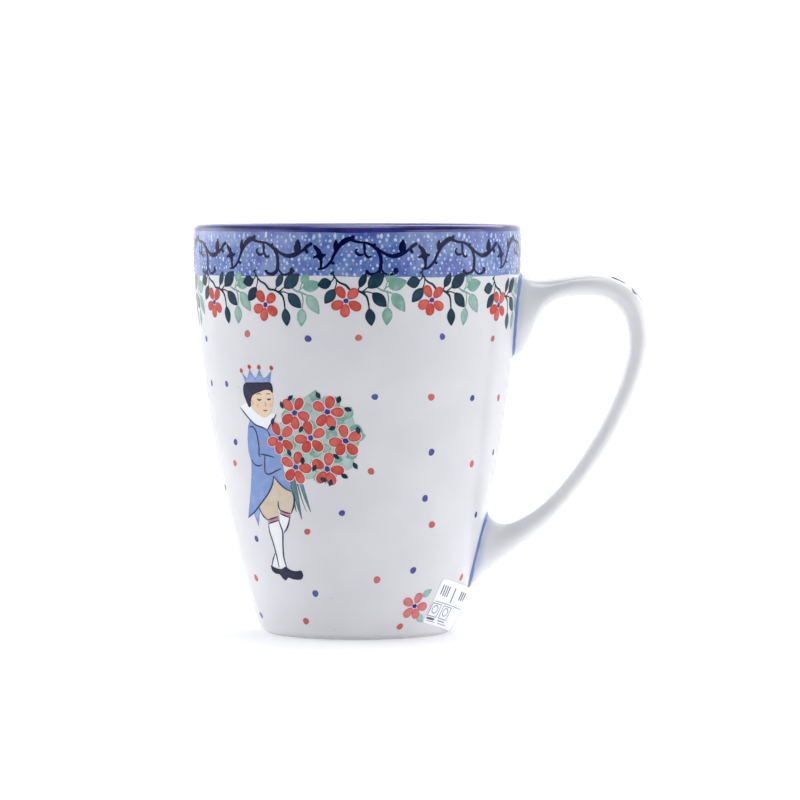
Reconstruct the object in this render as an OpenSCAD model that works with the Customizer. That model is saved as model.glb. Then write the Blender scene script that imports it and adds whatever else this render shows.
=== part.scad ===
// Tapered stoneware mug with a strap handle.
// Millimetres. +Z is up, the origin is the middle of the foot on the table, and the handle points along +X.

/* [Cup] */
// Height from the table to the top of the lip
mug_h = 111; // [95:1:125]
// Outer radius at the lip
lip_outer_r = 44.5; // [42:0.5:48]
// Outer radius just above the foot
base_r = 26.1; // [23:0.1:28]
// Thickness of the wall above the foot, glaze included
wall_low_t = 4.6; // [4:0.1:5.5]
// Thickness of the wall at the lip, glaze included
wall_lip_t = 3.4; // [3:0.1:4]
// Height of the inside floor above the table
floor_z = 7.5; // [6.5:0.5:9]

/* [Foot] */
// Height of the rounded corner between the foot and the wall
foot_corner_h = 0.7; // [0.5:0.1:1]
// Inner radius of the bare ring that stands on the table
foot_ring_in_r = 19.5; // [17:0.5:21]
// Depth of the hollow inside the foot ring
foot_hollow_h = 1.6; // [1:0.1:2]
// Height at which the outside glaze stops above the table
glaze_stop_z = 0.8; // [0.8:0.1:2.5]

/* [Glaze and colour coats] */
// Thickness of the fired glaze
glaze_t = 0.3; // [0.2:0.05:0.4]
// Height at which the sponged blue band begins
band_low_z = 97.3; // [90:0.1:100]
// Height at which the cobalt lip coat begins outside
lip_coat_low_z = 109.1; // [107:0.1:109.2]
// Height at which the cobalt lip coat ends inside
lip_coat_inner_z = 105.5; // [100:0.5:108]

/* [Handle] */
// Width of the strap where a finger holds it
strap_w = 11.5; // [10:0.5:14]
// Width of the handle where it meets the cup at the top
top_joint_w = 13.6; // [12:0.2:15]
// Width of the handle where it meets the cup at the bottom
low_joint_w = 12.6; // [12:0.2:14]
// Thickness of the clay slip between the handle and the cup
slip_t = 0.9; // [0.7:0.1:1.2]
// How far the squeezed-out slip stands proud of the handle's edge
slip_bead = 0.7; // [0.4:0.1:1]

/* [Paper label] */
// Length of the label around the cup
label_l = 14.5; // [14:0.5:18]
// Height of the label
label_h = 12.8; // [10:0.1:14]
// Thickness of the paper
label_t = 0.12; // [0.1:0.01:0.2]
// Radius of the label's corners
label_corner_r = 1.2; // [0.8:0.1:1.5]

/* [Hidden] */
$fn = 96;

clay_colour = "#d9cdb9";
white_glaze_colour = "#e6e6ec";
sponge_colour = "#6d8ad0";
cobalt_colour = "#3b3794";
label_colour = "#fbfbfd";

wall_steps = 30;
arc_steps = 8;
lip_steps = 14;

// ---- curves -------------------------------------------------------------------------------------

// Point at t on the cubic curve with control points p
function bezier(p, t) =
    pow(1 - t, 3) * p[0] + 3 * pow(1 - t, 2) * t * p[1] + 3 * (1 - t) * t * t * p[2] + pow(t, 3) * p[3];

// Direction of travel at t on the same curve
function bezier_way(p, t) =
    3 * pow(1 - t, 2) * (p[1] - p[0]) + 6 * (1 - t) * t * (p[2] - p[1]) + 3 * t * t * (p[3] - p[2]);

function unit(v) = v / norm(v);
function mix(a, b, share) = a + (b - a) * share;
function reversed(points) = [for (i = [len(points) - 1 : -1 : 0]) points[i]];
function arc(centre, r, from, to, steps) =
    [for (i = [0 : steps]) let (a = mix(from, to, i / steps)) centre + r * [cos(a), sin(a)]];

// ---- the cup's profile, as [radius, height] ---------------------------------------------------------

lip_r = wall_lip_t / 2;
wall_top_z = mug_h - lip_r;
wall_curve = [[base_r, foot_corner_h], [base_r + 9.4, 19.9], [lip_outer_r + 1, wall_top_z - 22.4],
              [lip_outer_r, wall_top_z]];

// Outward normal of the wall at t
function wall_normal(t) = let (w = unit(bezier_way(wall_curve, t))) [w[1], -w[0]];
// Point of the wall at t, a depth d under the outside surface
function wall_point(t, d) = bezier(wall_curve, t) - d * wall_normal(t);
function wall_t(t) = mix(wall_low_t, wall_lip_t, t);

// The curve's t at a height on the outside surface, found by halving
function t_at(z, low = 0, high = 1, left = 18) =
    left == 0 ? (low + high) / 2
    : let (middle = (low + high) / 2)
      bezier(wall_curve, middle)[1] < z ? t_at(z, middle, high, left - 1) : t_at(z, low, middle, left - 1);

// The outside surface between two t, at a depth d under it
function steps_for(from, to) = max(3, ceil(wall_steps * (to - from)));
function outside(from, to, d) =
    let (n = steps_for(from, to)) [for (i = [0 : n]) wall_point(mix(from, to, i / n), d)];
// The inside surface between two t, at a depth d under it
function inside(from, to, d) =
    let (n = steps_for(from, to))
    [for (i = [0 : n]) let (t = mix(from, to, i / n)) wall_point(t, wall_t(t) - d)];

// The lip is a half round on the end of the wall
lip_centre = wall_point(1, lip_r);
lip_lean = atan2(wall_normal(1)[1], wall_normal(1)[0]);
function lip_arc(d) = arc(lip_centre, lip_r - d, lip_lean, lip_lean + 180, lip_steps);

// The inside corner is an arc that touches the floor and the wall
corner_t = 0.2;
corner_lean = atan(-wall_normal(corner_t)[1] / wall_normal(corner_t)[0]);
corner_end = wall_point(corner_t, wall_t(corner_t));
corner_r = (corner_end[1] - floor_z) / (1 - sin(corner_lean));
corner_centre = corner_end - corner_r * [cos(corner_lean), -sin(corner_lean)];
function corner_arc(d) = arc(corner_centre, corner_r + d, -90, -corner_lean, arc_steps);

// The foot's outer corner is an arc that touches the table and the wall
foot_lean = atan(-wall_normal(0)[1] / wall_normal(0)[0]);
foot_end = wall_point(0, glaze_t);
foot_r = foot_end[1] / (1 - sin(foot_lean));
foot_centre = foot_end - foot_r * [cos(foot_lean), -sin(foot_lean)];
hollow_slope = 1.2;
hollow_r = foot_ring_in_r - hollow_slope;

band_t = t_at(band_low_z);
lip_coat_t = t_at(lip_coat_low_z);
lip_coat_inner_t = t_at(lip_coat_inner_z);
glaze_stop_t = t_at(glaze_stop_z);

// Closed ring of the outside surface between two t and two depths
module outside_coat(from, to, shallow, deep) {
    rotate_extrude() polygon(concat(outside(from, to, shallow), reversed(outside(from, to, deep))));
}

// ---- the handle ---------------------------------------------------------------------------------

// The strap runs between two rails in the XZ plane: its back and its finger side, as cubic curves
back_rails = [
    [[43.6, 98.3], [48, 94], [54, 96.6], [62, 97.3]],
    [[62, 97.3], [70, 98], [79.6, 94], [79.6, 81]],
    [[79.6, 81], [79.6, 65.5], [64, 38.5], [49.9, 26.9]],
    [[49.9, 26.9], [42, 20.4], [33.5, 16], [30.4, 11.5]]];
finger_rails = [
    [[42.3, 75.2], [51, 76.5], [43.7, 91.3], [62.5, 91.3]],
    [[62.5, 91.3], [69.5, 91.3], [73.9, 87.2], [73.9, 79.5]],
    [[73.9, 79.5], [73.9, 66], [58, 38.5], [46, 31.6]],
    [[46, 31.6], [42, 29.3], [38.5, 27.2], [35.2, 32.6]]];
rail_steps = [9, 8, 12, 9];
section_sides = 28;
// How far each end runs on into the wall before it is cut to the wall's shape
end_reach = 4;

// Every ring of the strap: [segment, t]
stations = [for (s = [0 : 3]) for (i = [0 : rail_steps[s] - 1]) [s, i / rail_steps[s]]];
all_stations = concat(stations, [[3, 1]]);

function strap_width(s, t) =
    s == 0 ? mix(top_joint_w, strap_w, smooth(t))
    : s == 3 ? mix(strap_w, low_joint_w, smooth(t))
    : strap_w;
function smooth(t) = t * t * (3 - 2 * t);

// A ring as [centre, half thickness vector in XZ, half width]
function ring_at(s, t) =
    let (b = bezier(back_rails[s], t), f = bezier(finger_rails[s], t))
    [(b + f) / 2, (b - f) / 2, strap_width(s, t) / 2];
// The same ring moved towards the cup's axis
function moved_in(ring, by) = [ring[0] - [by, 0], ring[1], ring[2]];

rings = concat([moved_in(ring_at(0, 0), end_reach)],
               [for (k = all_stations) ring_at(k[0], k[1])],
               [moved_in(ring_at(3, 1), end_reach)]);

// Points of one ring, a depth d under the surface: a soft-cornered oval
squareness = 0.86;
function oval(v) = sign(v) * pow(abs(v), squareness);
function ring_points(ring, d) =
    let (half_t = norm(ring[1]), along = ring[1] / half_t)
    [for (i = [0 : section_sides - 1])
        let (a = 360 * i / section_sides,
             n = (half_t - d) * oval(cos(a)),
             w = (ring[2] - d) * oval(sin(a)))
        [ring[0][0] + along[0] * n, w, ring[0][1] + along[1] * n]];

function ring_strip(from, to) =
    [for (k = [0 : len(rings) - 2]) for (i = [0 : section_sides - 1])
        let (j = (i + 1) % section_sides, a = from + k * section_sides, b = a + section_sides)
        to > 0 ? [a + i, a + j, b + j, b + i] : [a + i, b + i, b + j, a + j]];

// The solid strap, a depth d under its glazed surface
module strap(d) {
    points = [for (r = rings) each ring_points(r, d)];
    last = (len(rings) - 1) * section_sides;
    polyhedron(points,
               concat(ring_strip(0, 1),
                      [[for (i = [section_sides - 1 : -1 : 0]) i]],
                      [[for (i = [0 : section_sides - 1]) last + i]]),
               convexity = 6);
}

// Everything nearer to the axis than the outside surface moved out by d
module cup_envelope(d) {
    rotate_extrude() polygon(concat([[0, -1]], [[wall_point(0, -d)[0], -1]], outside(0, 1, -d),
                                    [[0, wall_point(1, -d)[1]]]));
}

// An oval plug along X that covers the end of the handle
module joint_plug(low_z, high_z, w, x_from, x_to) {
    mid_z = (low_z + high_z) / 2;
    half_h = (high_z - low_z) / 2;
    translate([x_from, 0, mid_z]) rotate([90, 0, 90]) linear_extrude(x_to - x_from)
        polygon([for (i = [0 : 2 * section_sides - 1])
            let (a = 180 * i / section_sides) [w / 2 * cos(a), half_h * sin(a)]]);
}
upper_span = [finger_rails[0][0][1] - slip_bead, back_rails[0][0][1] + slip_bead];
lower_span = [back_rails[3][3][1] - slip_bead, finger_rails[3][3][1] + slip_bead];
module upper_plug() joint_plug(upper_span[0], upper_span[1], top_joint_w + 2 * slip_bead, 30, 60);
module lower_plug() joint_plug(lower_span[0], lower_span[1], low_joint_w + 2 * slip_bead, 18, 50);

// ---- sub-parts ----------------------------------------------------------------------------------

// The fired clay cup, with its bare foot ring
module stoneware_cup() {
    color(clay_colour) rotate_extrude() polygon(concat(
        [[0, foot_hollow_h + glaze_t], [hollow_r, foot_hollow_h + glaze_t], [foot_ring_in_r, 0]],
        arc(foot_centre, foot_r, -90, -foot_lean, arc_steps),
        outside(1 / wall_steps / 4, 1, glaze_t),
        [for (i = [1 : lip_steps - 1]) lip_arc(glaze_t)[i]],
        reversed(inside(corner_t, 1, glaze_t)),
        reversed([for (i = [0 : arc_steps - 1]) corner_arc(glaze_t)[i]]),
        [[0, floor_z - glaze_t]]));
}

// Clear glaze over the white outside, open where the handle's slip meets the clay
module outer_glaze() {
    color(white_glaze_colour) difference() {
        outside_coat(glaze_stop_t, band_t, 0, glaze_t);
        upper_plug();
        lower_plug();
    }
}

// Sponged blue colour and its glaze, above the white
module sponged_band() {
    color(sponge_colour) difference() {
        outside_coat(band_t, lip_coat_t, 0, glaze_t);
        upper_plug();
    }
}

// Cobalt coat over the lip
module cobalt_lip() {
    color(cobalt_colour) rotate_extrude() polygon(concat(
        outside(lip_coat_t, 1, 0),
        [for (i = [1 : lip_steps - 1]) lip_arc(0)[i]],
        reversed(inside(lip_coat_inner_t, 1, 0)),
        inside(lip_coat_inner_t, 1, glaze_t),
        [for (i = [lip_steps - 1 : -1 : 1]) lip_arc(glaze_t)[i]],
        reversed(outside(lip_coat_t, 1, glaze_t))));
}

// Clear glaze over the inside wall and floor
module inner_glaze() {
    color(white_glaze_colour) rotate_extrude() polygon(concat(
        [[0, floor_z - glaze_t]],
        [for (i = [0 : arc_steps - 1]) corner_arc(glaze_t)[i]],
        inside(corner_t, lip_coat_inner_t, glaze_t),
        reversed(inside(corner_t, lip_coat_inner_t, 0)),
        reversed([for (i = [0 : arc_steps - 1]) corner_arc(0)[i]]),
        [[0, floor_z]]));
}

// Glaze in the hollow under the foot
module foot_glaze() {
    color(white_glaze_colour) translate([0, 0, foot_hollow_h]) cylinder(h = glaze_t, r = hollow_r - 0.2);
}

// The clay strap, cut to the shape of the wall with room for the slip
module stoneware_handle() {
    color(clay_colour) difference() {
        strap(glaze_t);
        cup_envelope(slip_t - glaze_t);
    }
}

// The handle's own coat of glaze
module handle_glaze() {
    color(white_glaze_colour) difference() {
        strap(0);
        strap(glaze_t);
        cup_envelope(slip_t - glaze_t);
    }
}

// The slip that the handle was stuck on with, squeezed out around each end
module slip_joint(from, to) {
    outside_coat(from, to, glaze_t - slip_t, glaze_t);
}
module upper_slip_joint() {
    color(white_glaze_colour) intersection() {
        slip_joint(t_at(upper_span[0] - 2), min(1, t_at(upper_span[1] + 2)));
        upper_plug();
    }
}
module lower_slip_joint() {
    color(white_glaze_colour) intersection() {
        slip_joint(t_at(lower_span[0] - 2), t_at(lower_span[1] + 2));
        lower_plug();
    }
}

// A blank paper label on the wall, below the handle
label_turn = -33;
label_tilt = -14.5;
label_z = 8.6;
module paper_label() {
    middle = wall_point(t_at(label_z), 0);
    wall_lean = atan(-wall_normal(t_at(label_z))[1] / wall_normal(t_at(label_z))[0]);
    half_l = label_l / 2 - label_corner_r;
    half_h = label_h / 2 - label_corner_r;
    outline = [for (q = [[1, 1, 0], [-1, 1, 90], [-1, -1, 180], [1, -1, 270]])
        each arc([q[0] * half_l, q[1] * half_h], label_corner_r, q[2], q[2] + 90, 4)];
    color(label_colour) intersection() {
        outside_coat(0, t_at(30), -label_t, 0);
        rotate([0, 0, label_turn]) translate([middle[0], 0, label_z]) rotate([0, wall_lean, 0])
            rotate([90, 0, 90]) rotate([0, 0, label_tilt]) translate([0, 0, -10]) linear_extrude(20) polygon(outline);
    }
}

stoneware_cup();
outer_glaze();
sponged_band();
cobalt_lip();
inner_glaze();
foot_glaze();
stoneware_handle();
handle_glaze();
upper_slip_joint();
lower_slip_joint();
paper_label();
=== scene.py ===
"""Looks of the tapered stoneware mug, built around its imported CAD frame.

Shapes are drawn in millimetres and turned into metres when a mesh is made. A place on the wall is an azimuth
in degrees, 0 towards -Y and positive towards +X, and a height above the table.
"""
import math
import random

import bpy
import numpy as np
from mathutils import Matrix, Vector
from mathutils.geometry import delaunay_2d_cdt


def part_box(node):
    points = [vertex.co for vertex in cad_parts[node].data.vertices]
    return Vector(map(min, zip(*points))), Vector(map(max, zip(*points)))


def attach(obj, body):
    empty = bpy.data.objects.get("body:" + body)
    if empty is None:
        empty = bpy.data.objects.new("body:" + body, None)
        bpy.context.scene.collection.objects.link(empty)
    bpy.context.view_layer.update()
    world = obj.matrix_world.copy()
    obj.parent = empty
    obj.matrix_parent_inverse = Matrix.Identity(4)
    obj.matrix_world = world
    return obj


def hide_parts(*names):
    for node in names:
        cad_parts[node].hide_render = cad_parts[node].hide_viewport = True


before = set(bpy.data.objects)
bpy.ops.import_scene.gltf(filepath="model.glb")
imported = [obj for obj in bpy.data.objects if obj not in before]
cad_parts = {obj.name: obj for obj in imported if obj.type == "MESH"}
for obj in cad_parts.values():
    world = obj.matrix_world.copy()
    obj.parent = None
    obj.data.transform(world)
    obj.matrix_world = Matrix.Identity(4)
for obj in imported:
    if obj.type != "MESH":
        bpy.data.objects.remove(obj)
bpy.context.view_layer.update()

MM = 0.001


def low_z(node):
    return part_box(node)[0].z / MM


def high_z(node):
    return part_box(node)[1].z / MM


# ---- camera ----------------------------------------------------------------------------

CAMERA_AT = (0.0116, -1.130, 0.118)
CAMERA_AIM = (0.0116, 0.0, 0.063)
CAMERA_LENS_MM = 186.8

camera_data = bpy.data.cameras.new("camera")
camera_data.lens = CAMERA_LENS_MM
camera_data.sensor_width = 36.0
camera_data.clip_start = 0.01
camera = bpy.data.objects.new("camera", camera_data)
camera.location = CAMERA_AT
camera.rotation_euler = (Vector(CAMERA_AIM) - Vector(CAMERA_AT)).to_track_quat("-Z", "Y").to_euler()
bpy.context.scene.collection.objects.link(camera)
bpy.context.scene.camera = camera


# ---- the cup's profile, the same curve as the CAD's ------------------------------------

BASE_R = 26.1
FOOT_CORNER_H = 0.7
LIP_OUTER_R = 44.5
MUG_H = 111.0
WALL_LOW_T = 4.6
WALL_LIP_T = 3.4
FLOOR_Z = 7.5
GLAZE_T = 0.3
FOOT_RING_IN_R = 19.5
FOOT_HOLLOW_H = low_z("foot_glaze")
LIP_ROUND_R = WALL_LIP_T / 2
WALL_TOP_Z = MUG_H - LIP_ROUND_R
WALL_CURVE = [(BASE_R, FOOT_CORNER_H), (BASE_R + 9.4, 19.9), (LIP_OUTER_R + 1, WALL_TOP_Z - 22.4),
              (LIP_OUTER_R, WALL_TOP_Z)]
BAND_LOW_Z = low_z("sponged_band")
BAND_HIGH_Z = high_z("sponged_band")
LIP_COAT_INNER_Z = low_z("cobalt_lip")
GLAZE_STOP_Z = low_z("outer_glaze")


def bezier(points, t):
    a, b, c, d = (np.array(p, float) for p in points)
    t = np.asarray(t, float)[..., None]
    return (1 - t) ** 3 * a + 3 * (1 - t) ** 2 * t * b + 3 * (1 - t) * t * t * c + t ** 3 * d


def normals_of(curve):
    """Unit normals to the right of a curve's direction of travel."""
    way = np.gradient(curve, axis=0)
    way /= np.linalg.norm(way, axis=1)[:, None]
    return np.stack([way[:, 1], -way[:, 0]], axis=1)


WALL_T = np.linspace(0, 1, 1601)
WALL = bezier(WALL_CURVE, WALL_T)
WALL_NORMALS = normals_of(WALL)


def wall_r(z):
    return np.interp(z, WALL[:, 1], WALL[:, 0])


def wall_normal(z):
    return np.interp(z, WALL[:, 1], WALL_NORMALS[:, 0]), np.interp(z, WALL[:, 1], WALL_NORMALS[:, 1])


def wall_point(t, depth):
    """Profile point at t on the curve, a depth under the outside surface, as (r, z)."""
    place = np.array([np.interp(t, WALL_T, WALL[:, 0]), np.interp(t, WALL_T, WALL[:, 1])])
    normal = np.array([np.interp(t, WALL_T, WALL_NORMALS[:, 0]), np.interp(t, WALL_T, WALL_NORMALS[:, 1])])
    return tuple(place - depth * normal)


def t_at(z):
    return float(np.interp(z, WALL[:, 1], WALL_T))


def inner_point(t, depth):
    """Profile point of the inside surface at t, a depth under it."""
    return wall_point(t, WALL_LOW_T + (WALL_LIP_T - WALL_LOW_T) * t - depth)


def on_wall(az, z, lift):
    """Points in metres on the outside wall, lifted off it, and the wall's normals there."""
    az = np.radians(az)
    n_r, n_z = wall_normal(z)
    r = wall_r(z) + lift * n_r
    places = np.stack([r * np.sin(az), -r * np.cos(az), z + lift * n_z], axis=1) * MM
    normals = np.stack([n_r * np.sin(az), -n_r * np.cos(az), n_z + 0 * az], axis=1)
    return places, normals


def arc(centre, r, start, end, steps):
    """Points of an arc in the profile plane; the angles are in degrees from outward."""
    return [(centre[0] + r * math.cos(a), centre[1] + r * math.sin(a))
            for a in np.radians(np.linspace(start, end, steps + 1))]


# ---- mesh helpers ----------------------------------------------------------------------

SHARP_ANGLE = math.radians(40)
LATHE_SIDES = 480
WAVES_ROUND = (2, 3, 5, 9, 14, 23)


def link_piece(name, mesh, material):
    """A mesh object that rides on the mug, with its material."""
    mesh.materials.append(material)
    piece = bpy.data.objects.new(name, mesh)
    bpy.context.scene.collection.objects.link(piece)
    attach(piece, "root")
    return piece


def add_piece(name, verts, faces, node, material):
    """A smooth-shaded piece that stands for one CAD node."""
    mesh = bpy.data.meshes.new(name)
    mesh.from_pydata([tuple(v) for v in verts], [], [tuple(int(i) for i in f) for f in faces])
    mesh.validate()
    mesh.polygons.foreach_set("use_smooth", [True] * len(mesh.polygons))
    mesh.set_sharp_from_angle(angle=SHARP_ANGLE)
    piece = link_piece(name, mesh, material)
    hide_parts(node)
    return piece


def set_attribute(mesh, name, values):
    attribute = mesh.attributes.new(name, "FLOAT", "POINT")
    attribute.data.foreach_set("value", np.array(values, np.float32))


def lathe(name, profile, node, material):
    """A closed solid of revolution. A profile point is (r, z) or (r, z, wave), where wave is a function of
    azimuth that moves the point up along the wall."""
    turns = np.linspace(0, 2 * math.pi, LATHE_SIDES, endpoint=False)
    verts, faces, rings = [], [], []
    for r, z, *wave in profile:
        if r < 1e-6:
            rings.append([len(verts)] * LATHE_SIDES)
            verts.append((0, 0, z * MM))
            continue
        rise = wave[0](turns) if wave else still(turns)
        ring_r = r + wall_r(z + rise) - wall_r(z)
        rings.append(list(range(len(verts), len(verts) + LATHE_SIDES)))
        verts.extend(np.stack([ring_r * np.sin(turns), -ring_r * np.cos(turns), z + rise], axis=1) * MM)
    for ring, following in zip(rings, rings[1:] + rings[:1]):
        for i in range(LATHE_SIDES):
            j = (i + 1) % LATHE_SIDES
            corners = list(dict.fromkeys((ring[i], ring[j], following[j], following[i])))
            if len(corners) > 2:
                faces.append(corners)
    return add_piece(name, verts, faces, node, material)


def slab_faces(points, triangles):
    """Faces of a closed slab: the triangles on top, their mirror under them, and a rim round the edge."""
    count = len(points)
    faces, used = [], set()
    for a, b, c in triangles:
        ab, ac = points[b] - points[a], points[c] - points[a]
        if ab[0] * ac[1] - ab[1] * ac[0] < 0:
            b, c = c, b
        faces += [(a, b, c), (count + a, count + c, count + b)]
        used.update(((a, b), (b, c), (c, a)))
    return faces + [(b, a, count + a, count + b) for a, b in sorted(used) if (b, a) not in used]


def wave_of(seed, height):
    """A brush edge's rise and fall in millimetres, periodic round the cup."""
    dice = random.Random(seed)
    parts = [(n, dice.uniform(0, 2 * math.pi), height / (1 + 0.12 * n)) for n in WAVES_ROUND]
    return lambda turns: sum(h * np.sin(n * turns + phase) for n, phase, h in parts)


def still(turns):
    return 0 * turns


# ---- the cup and its coats -------------------------------------------------------------

CORNER_T = 0.2
BAND_EDGE = wave_of(3, 0.16)
LIP_EDGE = wave_of(5, 0.09)
LIP_INNER_EDGE = wave_of(6, 0.3)
GLAZE_EDGE = wave_of(7, 0.12)


def outside(low, high, depth, count, low_wave=still, high_wave=still):
    """Profile points up the outside wall between two heights; the first and last follow a brush edge."""
    points = [wall_point(t, depth) for t in np.linspace(t_at(low), t_at(high), count)]
    points[0] += (low_wave,)
    points[-1] += (high_wave,)
    return points


def corner_circle():
    """Centre, radius and end angle of the inside corner between floor and wall."""
    place = inner_point(CORNER_T, 0)
    t_index = int(CORNER_T * (len(WALL_T) - 1))
    lean = math.atan2(-WALL_NORMALS[t_index, 1], WALL_NORMALS[t_index, 0])
    r = (place[1] - FLOOR_Z) / (1 - math.sin(lean))
    return (place[0] - r * math.cos(lean), place[1] + r * math.sin(lean)), r, -math.degrees(lean)


def lip_arc(depth):
    n_r, n_z = WALL_NORMALS[-1]
    lean = math.degrees(math.atan2(n_z, n_r))
    return arc(wall_point(1, LIP_ROUND_R), LIP_ROUND_R - depth, lean, lean + 180, 20)


def inside(t_low, t_high, depth, count):
    return [inner_point(t, depth) for t in np.linspace(t_low, t_high, count)]


def clay_cup(material):
    centre, r, end = corner_circle()
    n_r, n_z = WALL_NORMALS[0]
    lean = math.atan2(-n_z, n_r)
    foot_end = wall_point(0, GLAZE_T)
    foot_r = foot_end[1] / (1 - math.sin(lean))
    foot_centre = (foot_end[0] - foot_r * math.cos(lean), foot_end[1] + foot_r * math.sin(lean))
    hollow_r = FOOT_RING_IN_R - 1.2
    profile = [(0, FOOT_HOLLOW_H + GLAZE_T), (hollow_r, FOOT_HOLLOW_H + GLAZE_T), (hollow_r + 0.5, 1.2),
               (FOOT_RING_IN_R - 0.3, 0.2), (FOOT_RING_IN_R, 0)]
    profile += arc(foot_centre, foot_r, -90, -math.degrees(lean), 10)
    profile += [wall_point(t, GLAZE_T) for t in np.linspace(0.01, 1, 60)]
    profile += lip_arc(GLAZE_T)[1:]
    profile += inside(CORNER_T, 1, GLAZE_T, 40)[::-1][1:]
    profile += arc(centre, r + GLAZE_T, -90, end, 12)[::-1][1:]
    profile += [(0, FLOOR_Z - GLAZE_T)]
    lathe("cup_clay", profile, "stoneware_cup", material)


def wall_coat(material):
    """The clear glaze over the white wall, with a rounded edge where it stops above the foot."""
    outer = outside(GLAZE_STOP_Z + 0.35, BAND_LOW_Z, 0, 130, GLAZE_EDGE, BAND_EDGE)
    under = outside(GLAZE_STOP_Z, BAND_LOW_Z, GLAZE_T, 60, GLAZE_EDGE, BAND_EDGE)
    bead = [wall_point(t_at(GLAZE_STOP_Z + 0.08), 0.09) + (GLAZE_EDGE,)]
    lathe("wall_white_glaze", bead + outer + under[::-1], "outer_glaze", material)


def band_coat(material):
    face = lambda depth: outside(BAND_LOW_Z, BAND_HIGH_Z, depth, 24, BAND_EDGE, LIP_EDGE)
    lathe("band_sponged_glaze", face(0) + face(GLAZE_T)[::-1], "sponged_band", material)


def lip_coat(material):
    def face(depth):
        points = outside(BAND_HIGH_Z, WALL_TOP_Z, depth, 4, LIP_EDGE) + lip_arc(depth)[1:]
        points += inside(t_at(LIP_COAT_INNER_Z), 1, depth, 8)[::-1][1:]
        points[-1] += (LIP_INNER_EDGE,)
        return points

    lathe("lip_cobalt_glaze", face(0) + face(GLAZE_T)[::-1], "cobalt_lip", material)


def inside_coat(material):
    centre, r, end = corner_circle()

    def face(depth, corner_steps, wall_steps):
        points = [(0, FLOOR_Z - depth)] + arc(centre, r + depth, -90, end, corner_steps)
        points += inside(CORNER_T, t_at(LIP_COAT_INNER_Z), depth, wall_steps)[1:]
        points[-1] += (LIP_INNER_EDGE,)
        return points

    profile = face(GLAZE_T, 12, 40) + face(0, 20, 70)[::-1]
    lathe("inside_white_glaze", profile, "inner_glaze", material)


def foot_coat(material):
    """Glaze pooled in the hollow under the foot, thicker in the corner."""
    r = FOOT_RING_IN_R - 1.4
    low, top = FOOT_HOLLOW_H, FOOT_HOLLOW_H + GLAZE_T
    profile = [(0, top), (r, top), (r - 0.1, low + 0.12), (r - 0.5, low), (r - 2, low + 0.06),
               (r * 0.6, low + 0.1), (0, low + 0.08)]
    lathe("foot_hollow_glaze", profile, "foot_glaze", material)


# ---- the handle ------------------------------------------------------------------------

# The same two rails as the CAD strap, in the XZ plane
BACK_RAILS = [
    [(43.6, 98.3), (48, 94), (54, 96.6), (62, 97.3)], [(62, 97.3), (70, 98), (79.6, 94), (79.6, 81)],
    [(79.6, 81), (79.6, 65.5), (64, 38.5), (49.9, 26.9)],
    [(49.9, 26.9), (42, 20.4), (33.5, 16), (30.4, 11.5)]]
FINGER_RAILS = [
    [(42.3, 75.2), (51, 76.5), (43.7, 91.3), (62.5, 91.3)],
    [(62.5, 91.3), (69.5, 91.3), (73.9, 87.2), (73.9, 79.5)],
    [(73.9, 79.5), (73.9, 66), (58, 38.5), (46, 31.6)], [(46, 31.6), (42, 29.3), (38.5, 27.2), (35.2, 32.6)]]
STRAP_W = 11.5
TOP_JOINT_W = 13.6
LOW_JOINT_W = 12.6
SQUARENESS = 0.86
END_REACH = 4.0
END_STATIONS = 40
STRAP_SAMPLES = 260
HANDLE_SIDES = 72
HANDLE_RINGS = 260
# How much closer the rings lie near the wall, from 0 for even spacing up to 1
RING_BUNCHING = 0.93
FILLET_R = 0.9
JOINT_SINK = 0.2
JOINT_RINGS = 46


def smooth_step(t):
    t = np.clip(t, 0, 1)
    return t * t * (3 - 2 * t)


def lengths_along(places):
    """Distance of each place from the first, along the line through them."""
    return np.concatenate([[0], np.cumsum(np.linalg.norm(np.diff(places, axis=0), axis=1))])


def strap_stations():
    """Centre, half-thickness vector (both in XZ) and half width of the strap, from its top end down."""
    t = np.linspace(0, 1, STRAP_SAMPLES)
    back, finger = (np.concatenate([bezier(rail, t)[:-1] for rail in rails] + [bezier(rails[-1], [1.0])])
                    for rails in (BACK_RAILS, FINGER_RAILS))
    grow = smooth_step(t)[:-1]
    widths = np.concatenate([TOP_JOINT_W + (STRAP_W - TOP_JOINT_W) * grow, np.full(2 * len(grow), STRAP_W),
                             STRAP_W + (LOW_JOINT_W - STRAP_W) * grow, [LOW_JOINT_W]])
    centre, half = (back + finger) / 2, (back - finger) / 2
    reach = np.linspace(END_REACH, 0, END_STATIONS, endpoint=False)
    top = centre[:1] - reach[:, None] * [1, 0]
    low = centre[-1:] - reach[::-1, None] * [1, 0]
    centre = np.concatenate([top, centre, low])
    half = np.concatenate([np.repeat(half[:1], len(reach), 0), half, np.repeat(half[-1:], len(reach), 0)])
    widths = np.concatenate([np.full(len(reach), TOP_JOINT_W), widths, np.full(len(reach), LOW_JOINT_W)])
    return centre, half, widths / 2


STRAP_CENTRE, STRAP_HALF, STRAP_HALF_W = strap_stations()


def strap_line(angle):
    """One line along the strap's surface, at an angle round its section, and its outward directions."""
    squared = lambda v: math.copysign(abs(v) ** SQUARENESS, v)
    c, s = squared(math.cos(angle)), squared(math.sin(angle))
    half_t = np.linalg.norm(STRAP_HALF, axis=1)
    along = STRAP_HALF / half_t[:, None]
    places = np.stack([STRAP_CENTRE[:, 0] + STRAP_HALF[:, 0] * c, STRAP_HALF_W * s,
                       STRAP_CENTRE[:, 1] + STRAP_HALF[:, 1] * c], axis=1)
    out_t, out_w = math.cos(angle) / half_t, math.sin(angle) / STRAP_HALF_W
    length = np.hypot(out_t, out_w)
    ways = np.stack([along[:, 0] * out_t, out_w, along[:, 1] * out_t], axis=1) / length[:, None]
    return places, ways


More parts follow.
